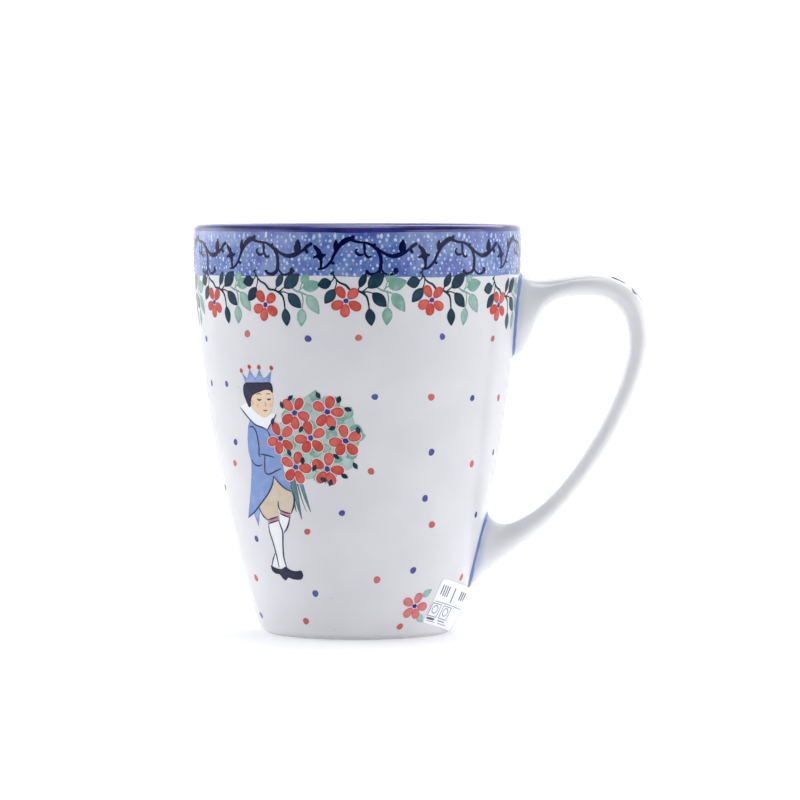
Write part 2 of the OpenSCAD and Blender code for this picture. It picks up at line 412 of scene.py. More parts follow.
def gap_to_wall(places):
    """Distance of points (mm) from the cup's outside wall."""
    z = np.clip(places[:, 2], 0, WALL_TOP_Z)
    n_r, _ = wall_normal(z)
    return (np.hypot(places[:, 0], places[:, 1]) - wall_r(z)) * n_r


def handle_rings():
    """Surface points of the handle, ring by ring and filleted into the wall, and their gap to the wall."""
    share = np.linspace(0, 1, HANDLE_RINGS)
    share = share - RING_BUNCHING * np.sin(2 * np.pi * share) / (2 * np.pi)
    lines, gaps = [], []
    for k in range(HANDLE_SIDES):
        places, ways = strap_line(2 * math.pi * k / HANDLE_SIDES)
        gap = gap_to_wall(places)
        middle = len(gap) // 2
        start = np.nonzero(gap[:middle] < -JOINT_SINK)[0].max()
        end = middle + np.nonzero(gap[middle:] < -JOINT_SINK)[0].min()
        places, ways, gap = places[start:end + 1], ways[start:end + 1], gap[start:end + 1]
        run = lengths_along(places)
        at = share * run[-1]
        pick = lambda values: np.stack([np.interp(at, run, values[:, i]) for i in range(3)], axis=1)
        places, ways, gap = pick(places), pick(ways), np.interp(at, run, gap)
        near = np.clip(gap, 0, FILLET_R)
        swell = FILLET_R - np.sqrt(FILLET_R ** 2 - (FILLET_R - near) ** 2)
        lines.append(places + ways * swell[:, None])
        gaps.append(gap)
    return np.stack(lines, axis=1), np.stack(gaps, axis=1)


def grid_normals(grid):
    """Outward normals of the handle's ring-by-ring surface points."""
    around = np.roll(grid, -1, axis=1) - np.roll(grid, 1, axis=1)
    normals = np.cross(np.gradient(grid, axis=0), around)
    return normals / np.linalg.norm(normals, axis=2)[:, :, None]


HANDLE_PLACES, HANDLE_GAPS = handle_rings()
HANDLE_NORMALS = grid_normals(HANDLE_PLACES)


def handle_part(name, first, last, node, material):
    """A closed stretch of the handle between two rings, with the gap to the wall as a mesh attribute."""
    rings = HANDLE_PLACES[first:last + 1] * MM
    count, sides = rings.shape[:2]
    end = (count - 1) * sides
    faces = []
    for i in range(sides):
        j = (i + 1) % sides
        faces += [(a + i, a + j, a + sides + j, a + sides + i) for a in range(0, end, sides)]
        faces += [(count * sides, j, i), (count * sides + 1, end + i, end + j)]
    verts = np.concatenate([rings.reshape(-1, 3), [rings[0].mean(0), rings[-1].mean(0)]])
    piece = add_piece(name, verts, faces, node, material)
    set_attribute(piece.data, "wall_gap", np.append(HANDLE_GAPS[first:last + 1], [0, 0]))


# ---- painting: thin decals that follow a surface ---------------------------------------

DECAL_SINK = 0.09
LAYER_BASE = 0.018
LAYER_STEP = 0.009
AREA_SPACING = 1.1


class Place:
    """Where a motif is painted on the wall: x runs round the cup and y up it, in millimetres. rise, if given,
    says how far each point stands off the wall."""

    def __init__(self, az, z, turn=0.0, rise=None, upright=False):
        self.az, self.z, self.rise = az, z, rise
        self.cos, self.sin = math.cos(math.radians(turn)), math.sin(math.radians(turn))
        self.slope = 1.0 if upright else wall_normal(z)[0]

    def __call__(self, points, lift):
        x = points[:, 0] * self.cos - points[:, 1] * self.sin
        z = self.z + (points[:, 0] * self.sin + points[:, 1] * self.cos) * self.slope
        extra = self.rise(points) if self.rise else 0
        return on_wall(self.az + np.degrees(x / wall_r(z)), z, lift + extra)


class HandlePlace:
    """Where a motif is painted on the handle's back: x runs down the strap, y across it, in millimetres."""

    def __init__(self, ring):
        self.run = lengths_along(HANDLE_PLACES[:, 0])
        self.start = self.run[ring]

    def __call__(self, points, lift):
        row = np.interp(self.start + points[:, 0], self.run, np.arange(len(self.run)))
        across = np.arcsin(np.clip(points[:, 1] / (STRAP_W / 2), -0.95, 0.95))
        column = across / (2 * math.pi) * HANDLE_SIDES % HANDLE_SIDES
        r, c = row.astype(int), column.astype(int)
        down, share = (row - r)[:, None], (column - c)[:, None]

        def sample(grid):
            upper, lower = (grid[k, c % HANDLE_SIDES] * (1 - share) + grid[k, (c + 1) % HANDLE_SIDES] * share
                            for k in (r, r + 1))
            return upper * (1 - down) + lower * down

        normals = sample(HANDLE_NORMALS)
        normals /= np.linalg.norm(normals, axis=1)[:, None]
        return (sample(HANDLE_PLACES) + normals * lift) * MM, normals


def inside_outline(points, outline):
    """Which points lie inside a closed outline."""
    x, y = points[:, :1], points[:, 1:]
    x0, y0 = outline[:, 0], outline[:, 1]
    x1, y1 = np.roll(x0, -1), np.roll(y0, -1)
    rise = np.where(y1 == y0, 1e-12, y1 - y0)
    crossing = ((y0 > y) != (y1 > y)) & (x < (x1 - x0) * (y - y0) / rise + x0)
    return crossing.sum(1) % 2 == 1


def outline_distance(points, outline):
    """Distance of each point from a closed outline."""
    a = outline[None]
    b = np.roll(outline, -1, axis=0)[None]
    p = points[:, None]
    run = b - a
    t = np.clip(((p - a) * run).sum(2) / np.maximum((run * run).sum(2), 1e-12), 0, 1)
    return np.linalg.norm(p - a - t[..., None] * run, axis=2).min(1)


def triangulate(outline, spacing):
    """Points, triangles and edge distances of a closed outline filled with a grid of inner points."""
    low, high = outline.min(0), outline.max(0)
    spacing = min(spacing, max((high - low).min() / 2.2, 0.2))
    grid = np.array([(x + (k % 2) * spacing / 2, y)
                     for k, y in enumerate(np.arange(low[1], high[1], spacing * 0.87))
                     for x in np.arange(low[0], high[0], spacing)]).reshape(-1, 2)
    grid = grid[inside_outline(grid, outline)]
    grid = grid[outline_distance(grid, outline) > 0.4 * spacing]
    corners = [Vector(p) for p in np.concatenate([outline, grid])]
    made = delaunay_2d_cdt(corners, [], [list(range(len(outline)))], 1, 1e-5)
    points = np.array([tuple(p) for p in made[0]], float)
    return points, [tuple(f) for f in made[2]], outline_distance(points, outline)


class Paint:
    """All the strokes of one colour, made into one piece of closed thin decals."""

    def __init__(self, name, slot, layer, colour):
        self.name, self.slot, self.colour = name, slot, colour
        self.lift = LAYER_BASE + LAYER_STEP * layer
        self.verts, self.normals, self.faces, self.edge, self.tone = [], [], [], [], []
        self.dice = random.Random(name)

    def add(self, points, triangles, edge, place):
        top, normals = place(points, self.lift)
        under, _ = place(points, -DECAL_SINK)
        first = len(self.verts)
        self.verts += [*top, *under]
        self.normals += [*normals, *normals]
        self.edge += [*edge, *edge]
        self.tone += [self.dice.random()] * (2 * len(points))
        self.faces += [tuple(first + i for i in face) for face in slab_faces(points, triangles)]

    def dot(self, outline, place):
        """A small convex dab, fanned out from its middle."""
        middle = outline.mean(0)
        count = len(outline)
        edge = np.append(np.zeros(count), np.linalg.norm(outline - middle, axis=1).mean())
        fan = [(i, (i + 1) % count, count) for i in range(count)]
        self.add(np.concatenate([outline, [middle]]), fan, edge, place)

    def area(self, outline, place, spacing=AREA_SPACING):
        self.add(*triangulate(outline, spacing), place)

    def stroke(self, points, widths, place):
        self.add(*brush_strip(points, widths), place)

    def build(self):
        mesh = bpy.data.meshes.new(self.name)
        mesh.from_pydata([tuple(v) for v in self.verts], [], self.faces)
        mesh.polygons.foreach_set("use_smooth", [True] * len(mesh.polygons))
        set_attribute(mesh, "edge_mm", self.edge)
        set_attribute(mesh, "tone", self.tone)
        mesh.normals_split_custom_set_from_vertices([tuple(n) for n in self.normals])
        link_piece(self.name, mesh, self.colour)


def spline(points, steps, closed=False):
    """A smooth curve through points."""
    points = np.array(points, float)
    out = []
    for k in range(len(points) if closed else len(points) - 1):
        p0, p1, p2, p3 = points.take([k - 1, k, k + 1, k + 2], axis=0, mode="wrap" if closed else "clip")
        for t in np.arange(steps) / steps:
            out.append(0.5 * (2 * p1 + (p2 - p0) * t + (2 * p0 - 5 * p1 + 4 * p2 - p3) * t * t
                              + (3 * p1 - p0 - 3 * p2 + p3) * t ** 3))
    return np.array(out if closed else out + [points[-1]])


ROUND_END = [0.0, 0.06, 0.2, 0.45, 0.75]


def brush_strip(points, widths):
    """A brush stroke through points: widths is one width, or one for each point. Its ends are round."""
    widths = np.broadcast_to(widths, len(points))
    smooth = spline([(*p, w) for p, w in zip(points, widths)], 12)
    run = lengths_along(smooth[:, :2])
    length = run[-1]
    half_first, half_last = widths[0] / 2, widths[-1] / 2
    inner = np.linspace(0, length, max(3, int(length / 0.4) + 1))
    caps = np.array(ROUND_END)
    at = np.unique(np.concatenate([caps * half_first, length - caps * half_last, inner]))
    at = at[(at >= 0) & (at <= length)]
    x, y, w = (np.interp(at, run, smooth[:, i]) for i in range(3))
    half = np.maximum(w / 2, 0.02)
    for distance, cap in ((at, half_first), (length - at, half_last)):
        near = np.clip(distance / cap, 0, 1)
        half = half * np.maximum(np.sqrt(1 - (1 - near) ** 2), 0.04)
    way = np.stack([np.gradient(x, at), np.gradient(y, at)], axis=1)
    way /= np.maximum(np.linalg.norm(way, axis=1), 1e-9)[:, None]
    side = np.stack([-way[:, 1], way[:, 0]], axis=1) * half[:, None]
    centre = np.stack([x, y], axis=1)
    triangles = []
    for a in range(0, 3 * (len(at) - 1), 3):
        triangles += [(a, a + 1, a + 4), (a, a + 4, a + 3), (a + 1, a + 2, a + 5), (a + 1, a + 5, a + 4)]
    edge = np.stack([0 * half, half, 0 * half], axis=1).reshape(-1)
    return np.stack([centre + side, centre, centre - side], axis=1).reshape(-1, 2), triangles, edge


def leaf(base, tip, width, bulge=0.42, point=1.0):
    """Outline of a leaf from its base to its pointed tip; bulge is where it is widest."""
    base, tip = np.array(base, float), np.array(tip, float)
    way = tip - base
    side = np.array([-way[1], way[0]]) / np.linalg.norm(way)
    t = np.linspace(0, 1, 15)
    spine = base + way * t[:, None]
    half = side * (np.sin(np.pi * t ** (math.log(0.5) / math.log(bulge))) ** point * width / 2)[:, None]
    return np.concatenate([spine + half, (spine - half)[::-1][1:-1]])


def petal(centre, angle, near, length, width):
    """Outline of a round petal whose narrow end points to the flower's middle."""
    t = np.linspace(0, 2 * math.pi, 22, endpoint=False)
    along = near + length * (0.5 - 0.5 * np.cos(t))
    across = width / 2 * np.sin(t) * (0.72 + 0.28 * (0.5 - 0.5 * np.cos(t)))
    a = math.radians(angle)
    return np.stack([centre[0] + along * math.cos(a) - across * math.sin(a),
                     centre[1] + along * math.sin(a) + across * math.cos(a)], axis=1)


def blob(centre, r, dice, steps=16, rough=0.06):
    """Outline of a hand-painted dot."""
    t = np.linspace(0, 2 * math.pi, steps, endpoint=False)
    phase, phase2 = dice.uniform(0, 6), dice.uniform(0, 6)
    radius = r * (1 + rough * np.sin(2 * t + phase) + rough * 0.6 * np.sin(3 * t + phase2))
    return np.stack([centre[0] + radius * np.cos(t), centre[1] + radius * np.sin(t)], axis=1)


# ---- materials -------------------------------------------------------------------------


def srgb(r, g, b):
    """Shader colour from 0-255 screen values."""
    linear = [((c / 255 + 0.055) / 1.055) ** 2.4 if c > 10 else c / 255 / 12.92 for c in (r, g, b)]
    return (*linear, 1.0)


def map_range(tree, source, low, high, out_low=0.0, out_high=1.0):
    """A smooth step from one number to another as the source goes from low to high."""
    node = tree.nodes.new("ShaderNodeMapRange")
    node.interpolation_type = "SMOOTHSTEP"
    for key, number in (("From Min", low), ("From Max", high), ("To Min", out_low), ("To Max", out_high)):
        node.inputs[key].default_value = number
    tree.links.new(source, node.inputs["Value"])
    return node.outputs["Result"]


def fill(tree, socket, value):
    """Link a socket to another, or give it a plain value."""
    if isinstance(value, bpy.types.NodeSocket):
        tree.links.new(value, socket)
    else:
        socket.default_value = value


def combine(tree, kind, a, b):
    node = tree.nodes.new("ShaderNodeMath")
    node.operation = kind
    fill(tree, node.inputs[0], a)
    fill(tree, node.inputs[1], b)
    return node.outputs["Value"]


class Shader:
    """A procedural material under construction, with short calls for the nodes used here."""

    def __init__(self, name, roughness):
        self.material = bpy.data.materials.new(name)
        self.material.use_nodes = True
        self.tree = self.material.node_tree
        self.surface = self.tree.nodes["Principled BSDF"]
        self.surface.inputs["Roughness"].default_value = roughness
        self.place = self.tree.nodes.new("ShaderNodeTexCoord").outputs["Object"]

    def link(self, source, target):
        self.tree.links.new(source, target)

    def stretched(self, scale):
        """Place in the material with each axis scaled."""
        node = self.tree.nodes.new("ShaderNodeMapping")
        node.inputs["Scale"].default_value = scale
        self.link(self.place, node.inputs["Vector"])
        return node.outputs["Vector"]

    def noise(self, size_mm, detail, rough=0.5, place=None):
        node = self.tree.nodes.new("ShaderNodeTexNoise")
        node.inputs["Scale"].default_value = 1 / (size_mm * MM)
        node.inputs["Detail"].default_value = detail
        node.inputs["Roughness"].default_value = rough
        self.link(place or self.place, node.inputs["Vector"])
        return node.outputs["Fac"]

    def cells(self, size_mm):
        """Distance to the nearest of many scattered points."""
        node = self.tree.nodes.new("ShaderNodeTexVoronoi")
        node.inputs["Scale"].default_value = 1 / (size_mm * MM)
        self.link(self.place, node.inputs["Vector"])
        return node.outputs["Distance"]

    def span(self, *numbers):
        return map_range(self.tree, *numbers)

    def math(self, kind, a, b):
        return combine(self.tree, kind, a, b)

    def mix(self, share, a, b):
        node = self.tree.nodes.new("ShaderNodeMix")
        node.data_type = "RGBA"
        self.link(share, node.inputs["Factor"])
        fill(self.tree, node.inputs[6], a)
        fill(self.tree, node.inputs[7], b)
        return node.outputs[2]

    def tint(self, base, mask, strength, colour):
        """The base with a colour over it where the mask is high."""
        return self.mix(self.math("MULTIPLY", mask, strength), base, colour)

    def attribute(self, name):
        node = self.tree.nodes.new("ShaderNodeAttribute")
        node.attribute_name = name
        return node.outputs["Fac"]

    def axis(self, letter):
        node = self.tree.nodes.new("ShaderNodeSeparateXYZ")
        self.link(self.place, node.inputs["Vector"])
        return node.outputs[letter]

    def colour(self, source):
        self.link(source, self.surface.inputs["Base Color"])

    def bump(self, *layers):
        """Layers are (height, depth in millimetres). Returns the finished material."""
        normal = None
        for source, depth_mm in layers:
            node = self.tree.nodes.new("ShaderNodeBump")
            node.inputs["Strength"].default_value = 1.0
            node.inputs["Distance"].default_value = depth_mm * MM
            self.link(source, node.inputs["Height"])
            if normal:
                self.link(normal, node.inputs["Normal"])
            normal = node.outputs["Normal"]
        self.link(normal, self.surface.inputs["Normal"])
        return self.material


GLAZE_ROUGHNESS = 0.13


def glaze_bump(shader):
    """The slow wander and fine orange peel of fired glaze, the same over the paint as beside it."""
    return shader.bump((shader.noise(11, 1.0), 0.10), (shader.noise(1.6, 2.0), 0.008))


WHITE_COOL = srgb(215, 216, 219)
WHITE_WARM = srgb(221, 221, 225)
SPECK = srgb(120, 110, 105)
# The handle's whites: the same glaze as the wall's, painted lighter as painted light so that the handle shows
# brighter than the wall
HANDLE_LIT_COOL = srgb(234, 235, 238)
HANDLE_LIT_WARM = srgb(239, 239, 242)


def white_glaze(name, bleed=None, cool=WHITE_COOL, warm=WHITE_WARM):
    """Milky white glaze with faint cloudiness and a few iron specks. bleed: how blue it is beside a joint."""
    shader = Shader(name, GLAZE_ROUGHNESS)
    cloud = shader.span(shader.noise(16, 3.0), 0.3, 0.7)
    base = shader.mix(cloud, cool, warm)
    specks = shader.span(shader.cells(7.5), 0.018, 0.035, 1, 0)
    base = shader.tint(base, specks, 0.35, SPECK)
    if bleed is not None:
        base = joint_halo(shader, base, bleed)
    shader.colour(base)
    return glaze_bump(shader)


JOINT_BLUE = srgb(88, 114, 178)
JOINT_HALO = srgb(160, 182, 218)


def joint_halo(shader, base, bleed):
    """A blue line brushed round each joint, and its bleed out along the handle."""
    gap = shader.attribute("wall_gap")
    halo = shader.math("ADD", gap, shader.span(shader.noise(9, 2.0), 0.3, 0.7, -0.5, 0.5))
    base = shader.mix(shader.span(halo, 0.4, 3.0, bleed, 0.0), base, JOINT_HALO)
    line = shader.math("ADD", gap, shader.span(shader.noise(6, 2.0), 0.3, 0.7, -0.12, 0.12))
    return shader.mix(shader.span(line, 0.35, 0.72, 0.95, 0.0), base, JOINT_BLUE)


def sponged_blue():
    """Blue sponged on in soft patches, some of them deep, with faint pale streaks."""
    shader = Shader("sponged_blue_glaze", GLAZE_ROUGHNESS)
    patches = shader.span(shader.noise(3.6, 4.0, 0.6), 0.34, 0.66)
    base = shader.mix(patches, srgb(118, 141, 192), srgb(84, 109, 178))
    deep = shader.span(shader.noise(10, 2.0), 0.5, 0.68)
    base = shader.tint(base, deep, 0.75, srgb(66, 80, 168))
    streaks = shader.span(shader.noise(0.9, 2.0, 0.6, shader.stretched((1, 1, 0.5))), 0.52, 0.74)
    base = shader.tint(base, streaks, 0.4, srgb(138, 161, 202))
    shader.colour(base)
    return glaze_bump(shader)


def cobalt_glaze():
    """Dense cobalt over the lip, thinner and greyer where the glaze ran off the edge; this paler top also
    serves as a painted highlight along the lip.
    """
    shader = Shader("cobalt_glaze", GLAZE_ROUGHNESS)
    thick = shader.span(shader.noise(6, 3.0), 0.35, 0.7)
    base = shader.mix(thick, srgb(58, 56, 132), srgb(34, 31, 98))
    # the lip's very top is painted paler: partly thin glaze, partly a painted highlight
    thin = shader.span(shader.axis("Z"), (MUG_H - 0.9) * MM, (MUG_H + 0.2) * MM)
    base = shader.tint(base, thin, 0.7, srgb(128, 120, 190))
    shader.colour(base)
    return glaze_bump(shader)


def bare_clay():
    """Unglazed stoneware: pale grey and gritty, with small darker specks."""
    shader = Shader("bare_stoneware", 0.85)
    grit = shader.noise(0.5, 4.0, 0.7)
    base = shader.mix(shader.span(grit, 0.35, 0.65), srgb(200, 200, 203), srgb(212, 212, 214))
    specks = shader.span(shader.cells(1.6), 0.08, 0.16, 1, 0)
    base = shader.tint(base, specks, 0.5, srgb(168, 164, 160))
    shader.colour(base)
    return shader.bump((grit, 0.05), (shader.noise(0.16, 2.0), 0.02))


def underglaze(name, full, thin, edge, edge_mm):
    """Brushed underglaze colour: pooled darker at the stroke's edge, thinner and streaky inside. The three
    colours are 0-255 screen values."""
    shader = Shader(name, GLAZE_ROUGHNESS)
    shader.surface.inputs["Specular IOR Level"].default_value = 0.15
    tone = shader.span(shader.attribute("tone"), 0, 1, -0.16, 0.16)
    wash = shader.math("ADD", shader.noise(2.2, 3.0, 0.6), tone)
    base = shader.mix(shader.span(wash, 0.25, 0.75), srgb(*full), srgb(*thin))
    wander = shader.span(shader.noise(0.8, 2.0), 0.3, 0.7, -0.15, 0.15)
    rim = shader.math("ADD", shader.attribute("edge_mm"), wander)
    shader.colour(shader.mix(shader.span(rim, 0.0, edge_mm, 0.75, 0.0), base, srgb(*edge)))
    return glaze_bump(shader)


def label_white():
    shader = Shader("label_paper", 0.45)
    shader.colour(shader.mix(shader.noise(3, 3.0), srgb(244, 245, 250), srgb(249, 249, 252)))
    return shader.bump((shader.noise(0.3, 3.0), 0.004))


# ---- the painted motifs ----------------------------------------------------------------

GARLAND_COUNT = 12
GARLAND_Z = 90.3
# Azimuth and height of the garland's flowers on the camera's side, and how much higher their leaves hang
GARLAND_FRONT = [(-60, 90.3, 1.1), (-33, 89.9, 1.4), (-3.3, 91.1, 0), (27.1, 91.2, 0), (60, 89.4, 0)]
PETAL_ANGLES = [121, 46, -33, -100, 203]
# One sprig of the garland: leaves as base, tip and width, stems as points and their widths
DARK_LEAVES = [
    ((-3.6, 5.1), (-7.4, 4.3), 2.7), ((-2.7, 3.2), (-5.7, -0.6), 2.5), ((3.6, 3.3), (5.6, 7.2), 1.8),
    ((5.9, 3.1), (10.3, 7.1), 3), ((7, 1.9), (10.6, -2), 2.8), ((6, -2.1), (6.4, -6.9), 2.3)]
PALE_LEAVES = [
    ((11.2, 3.4), (16.4, 4.6), 2.9), ((12.4, 1.6), (15.5, -3.5), 2.8), ((10.9, -2.1), (10.4, -6.9), 2.4),
    ((11, 4.5), (12.9, 7), 2)]
DARK_STEMS = [
    ([(-3.3, 7.4), (-2.4, 5.8), (-1.4, 4.8), (0.1, 4.1), (1.3, 2.8), (2.9, 2.6), (4.6, 1.8), (5.6, 0.5),
     (6, -2.4)], [0.5, 0.45, 0.5, 0.6, 0.6, 0.55, 0.65, 0.55, 0.4]),
    ([(3, 2.6), (3.3, 2.9), (3.7, 3.6)], [0.4, 0.4, 0.3]),
    ([(4, 2), (4.8, 2.5), (5.9, 3.4)], [0.5, 0.4, 0.3]),
    ([(4.4, 1.9), (5.6, 2.2), (7.2, 1.7)], [0.5, 0.35, 0.3]),
    ([(-2.3, 5.6), (-2.4, 4.4), (-2.9, 3)], [0.35, 0.3, 0.3]),
    ([(-2.9, 6.6), (-3.2, 5.7), (-3.9, 5)], [0.35, 0.35, 0.3]),
    ([(-3.9, 7.1), (-3.3, 7.4), (-2.8, 7.9)], [0.35, 0.6, 0.3])]
PALE_STEMS = [
    ([(8, 3.4), (9.4, 2.5), (11, 2), (12.7, 1.3)], [0.35, 0.5, 0.5, 0.3]),
    ([(10, 2.4), (10.6, 3.1), (11.5, 3.5)], [0.35, 0.35, 0.3]),
    ([(10.8, 2.1), (11.2, 0.2), (10.8, -2.3)], [0.4, 0.35, 0.3]),
    ([(10.5, 3), (10.7, 3.8), (11.1, 4.8)], [0.3, 0.3, 0.25])]


def flower(petals, hearts, place, centre=(0, 0), size=1.0, turn=0.0, gaps=None):
    """Five petals round a heart; gaps, if given, paints a pale edge under each petal."""
    dice = petals.dice
    for angle in PETAL_ANGLES:
        way = angle + turn + dice.uniform(-3, 3)
        length, width = 3.5 * size * dice.uniform(0.95, 1.04), 2.95 * size * dice.uniform(0.95, 1.05)
        if gaps:
            gaps.area(petal(centre, way, 0.7 * size, length + 0.27, width + 0.32), place)
        petals.area(petal(centre, way, 0.82 * size, length, width), place)
    hearts.area(blob(centre, 0.68 * size, dice), place)


def garland(paints):
    """Sprigs of flower and leaves hanging under the blue band, all round the cup."""
    places = list(GARLAND_FRONT)
    left = GARLAND_COUNT - len(places)
    first_az, last_az = places[0][0], places[-1][0]
    step = (360 - (last_az - first_az)) / (left + 1)
    dice = random.Random(11)
    for k in range(left):
        z = GARLAND_Z + dice.uniform(-0.8, 0.8)
        places.append((last_az + step * (k + 1), z, dice.uniform(0, 1)))
    for az, z, rise in places:
        spot = Place(az, z + rise, turn=dice.uniform(-2, 2))
        for green, stems, leaves, least, most, bulge in (("pale", PALE_STEMS, PALE_LEAVES, 1.05, 1.22, 0.42),
                                                         ("dark", DARK_STEMS, DARK_LEAVES, 1.08, 1.2, 0.47)):
            for points, widths in stems:
                paints[f"garland_{green}_stems"].stroke(points, widths, spot)
            for base, tip, width in leaves:
                outline = leaf(base, tip, width * dice.uniform(least, most), bulge, 0.85)
                paints[f"garland_{green}_leaves"].area(outline, spot)
        flower(paints["garland_petals"], paints["garland_hearts"], spot, (0, -rise))


SCROLL_COUNT = 10
SCROLL_FIRST_AZ = -12.0
SCROLL_Z = 98.0
# Brush strokes of one repeat, from the foot of its rising stem; y is measured from SCROLL_Z
SCROLL_STROKES = [
    # the stem: up to the arch and along it
    ([(-0.9, 1.4), (0.8, 1.6), (2.2, 2.7), (3, 3.8), (3.5, 4.9), (4.1, 6), (5, 7.4), (6.2, 8.6),
      (7.8, 9.3), (9.2, 8.7), (10.8, 8.4), (12.4, 8.2), (14, 7.4), (15.2, 6.4)],
     [0.4, 0.65, 0.7, 0.75, 0.8, 0.85, 1.1, 1.45, 1.25, 0.75, 0.65, 0.65, 0.9, 1]),
    # down from the arch, and the two curls at its foot
    ([(14.8, 7), (15.8, 4.9), (16, 3.4), (15.9, 2), (15.7, 0.9)], [0.8, 0.95, 0.95, 1, 1.1]),
    ([(15.8, 1.2), (14.8, 0.2), (13.6, 0), (12.5, 0.4), (12.2, 1.2)], [0.8, 1.05, 0.9, 0.85, 1.1]),
    ([(16, 1.4), (16.9, 0.3), (18, -0.1), (19.2, 0.2), (20, 0.9), (19.6, 1.7)],
     [0.6, 0.5, 0.6, 0.85, 1.3, 1.2]),
    ([(20, 0.9), (20.8, 0.8)], [0.8, 0.2]),
    # the sprig under the arch
    ([(11.5, 8.1), (11.7, 6.9), (11.7, 5.8), (12.3, 4.7), (13, 4.5), (13.4, 5)],
     [0.7, 0.8, 0.65, 0.7, 0.6, 0.6]),
    ([(11.5, 5.3), (10.3, 5.1), (9.5, 5.7), (9.4, 6.4), (10, 6.7)], [0.5, 0.7, 0.75, 0.55, 0.5]),
    # the long branch, its sag and its rise
    ([(15, 6.9), (16.4, 5.8), (17.8, 5.1), (19.4, 4.8), (21, 5.2), (22.4, 5.8), (23.5, 6.5), (24.6, 7.5),
      (25.9, 8.2)], [0.8, 0.75, 0.9, 1.15, 1.25, 0.9, 0.8, 1, 0.9]),
    # thorns and buds
    ([(2.9, 3.2), (3.8, 2.8)], [0.7, 0.9]),
    ([(8.4, 9.2), (8.6, 9.8), (8.7, 10.3)], [0.9, 1, 1.35]),
    ([(14.1, 7.5), (14.6, 8.1)], [0.7, 0.8]),
    ([(23.8, 6.8), (24.6, 5.5)], [0.7, 1.15]),
]
SCROLL_LEAVES = [((4, 5.8), (4.2, 9.2), 1.35), ((21.6, 4.8), (21.9, 9.3), 2)]
SCROLL_LAST_LEAF = [
    (26.2, 7.9), (27.2, 7.3), (28.1, 6.4), (28.6, 5.5), (29.5, 5.4), (29.4, 4.8), (28.8, 4.5), (28.6, 3.6),
    (28.5, 2.2), (28.2, 1.2), (27.7, 1.4), (27.8, 2.6), (27.6, 3.8), (27, 4.3), (26, 4.2), (26.2, 4.8),
    (27, 5.3), (26.7, 6.2), (26.2, 7)]


def scroll_border(paint):
    """A brushed vine scroll that runs round the blue band."""
    for k in range(SCROLL_COUNT):
        spot = Place(SCROLL_FIRST_AZ + 360 / SCROLL_COUNT * k, SCROLL_Z)
        for points, widths in SCROLL_STROKES:
            paint.stroke(points, widths, spot)
        for base, tip, width in SCROLL_LEAVES:
            paint.area(leaf(base, tip, width, bulge=0.5, point=0.8), spot)
        paint.area(spline(SCROLL_LAST_LEAF, 4, closed=True), spot)


SPONGE_ROW_STEP = 1.22
SPONGE_DOT_STEP = 1.8


def sponge_dots(paint):
    """The pale dots that the sponge leaves all over the blue band."""
    dice = random.Random(41)
    r = wall_r(BAND_LOW_Z)
    columns = int(2 * math.pi * r / SPONGE_DOT_STEP)
    rows = int((BAND_HIGH_Z - BAND_LOW_Z - 1.2) / SPONGE_ROW_STEP) + 1
    for row in range(rows):
        for column in range(columns):
            if dice.random() < 0.12:
                continue
            az = 360 * (column + row % 2 / 2 + dice.uniform(-0.3, 0.3)) / columns
            z = BAND_LOW_Z + 0.9 + row * SPONGE_ROW_STEP + dice.uniform(-0.35, 0.35)
            size = dice.choice((0.2, 0.26, 0.3, 0.36, 0.42)) * dice.uniform(0.9, 1.1)
            drip = 2.2 if row == rows - 1 else 1.5
            outline = blob((0, 0), size, dice, steps=9, rough=0.1) * [1, dice.uniform(0.95, drip)]
            paint.dot(outline, Place(az, z, turn=dice.uniform(-12, 12)))


# Azimuth and height of the dots on the side towards the camera
CORAL_DOTS = [
    (-42, 82.1), (1, 81.4), (58, 80.5), (29, 65.5), (69, 64.3), (6, 46), (54, 47), (-59, 47), (-22, 29.6),
    (35, 31.2), (-60, 15.8), (10, 16.7), (-29, 5), (25, 3.6), (64, 15.8)]
BLUE_DOTS = [
    (-71, 80.2), (-17, 81.1), (32, 81.5), (7, 65.8), (49, 64.8), (-71, 68.2), (-57, 68.4), (-56, 52.8),
    (-76, 39.8), (31, 50.8), (73, 49.4), (30, 38.4), (-6, 34.8), (65, 32.8), (-52, 26.8), (28, 19),
    (-21, 12.8), (-68, 5.2)]


# Least and greatest radius of a dot
CORAL_R = (0.88, 1.02)
BLUE_R = (0.82, 0.95)


def dots(coral, blue):
    """Scattered dots; the far side repeats the near side's, half a turn on."""
    dice = random.Random(23)
    for paint, spots, sizes in ((coral, CORAL_DOTS, CORAL_R), (blue, BLUE_DOTS, BLUE_R)):
        for half_turn in (0, 180):
            for az, z in spots:
                stray = 1 if half_turn else 0
                az_stray, z_stray = dice.uniform(-3, 3) * stray, dice.uniform(-1.5, 1.5) * stray
                spot = Place(az + half_turn + az_stray, z + z_stray)
                paint.dot(blob((0, 0), dice.uniform(*sizes), dice, steps=18), spot)


# Middle of each flower in the bunch, and its turn
BOUQUET_FLOWERS = [
    (-5, 6.5, 13), (4.1, 6.9, 29), (-9.6, -0.5, -5), (-0.8, -0.2, -18), (8.6, -0.9, -20), (-5.5, -8.2, 30),
    (3.3, -8.5, 30)]
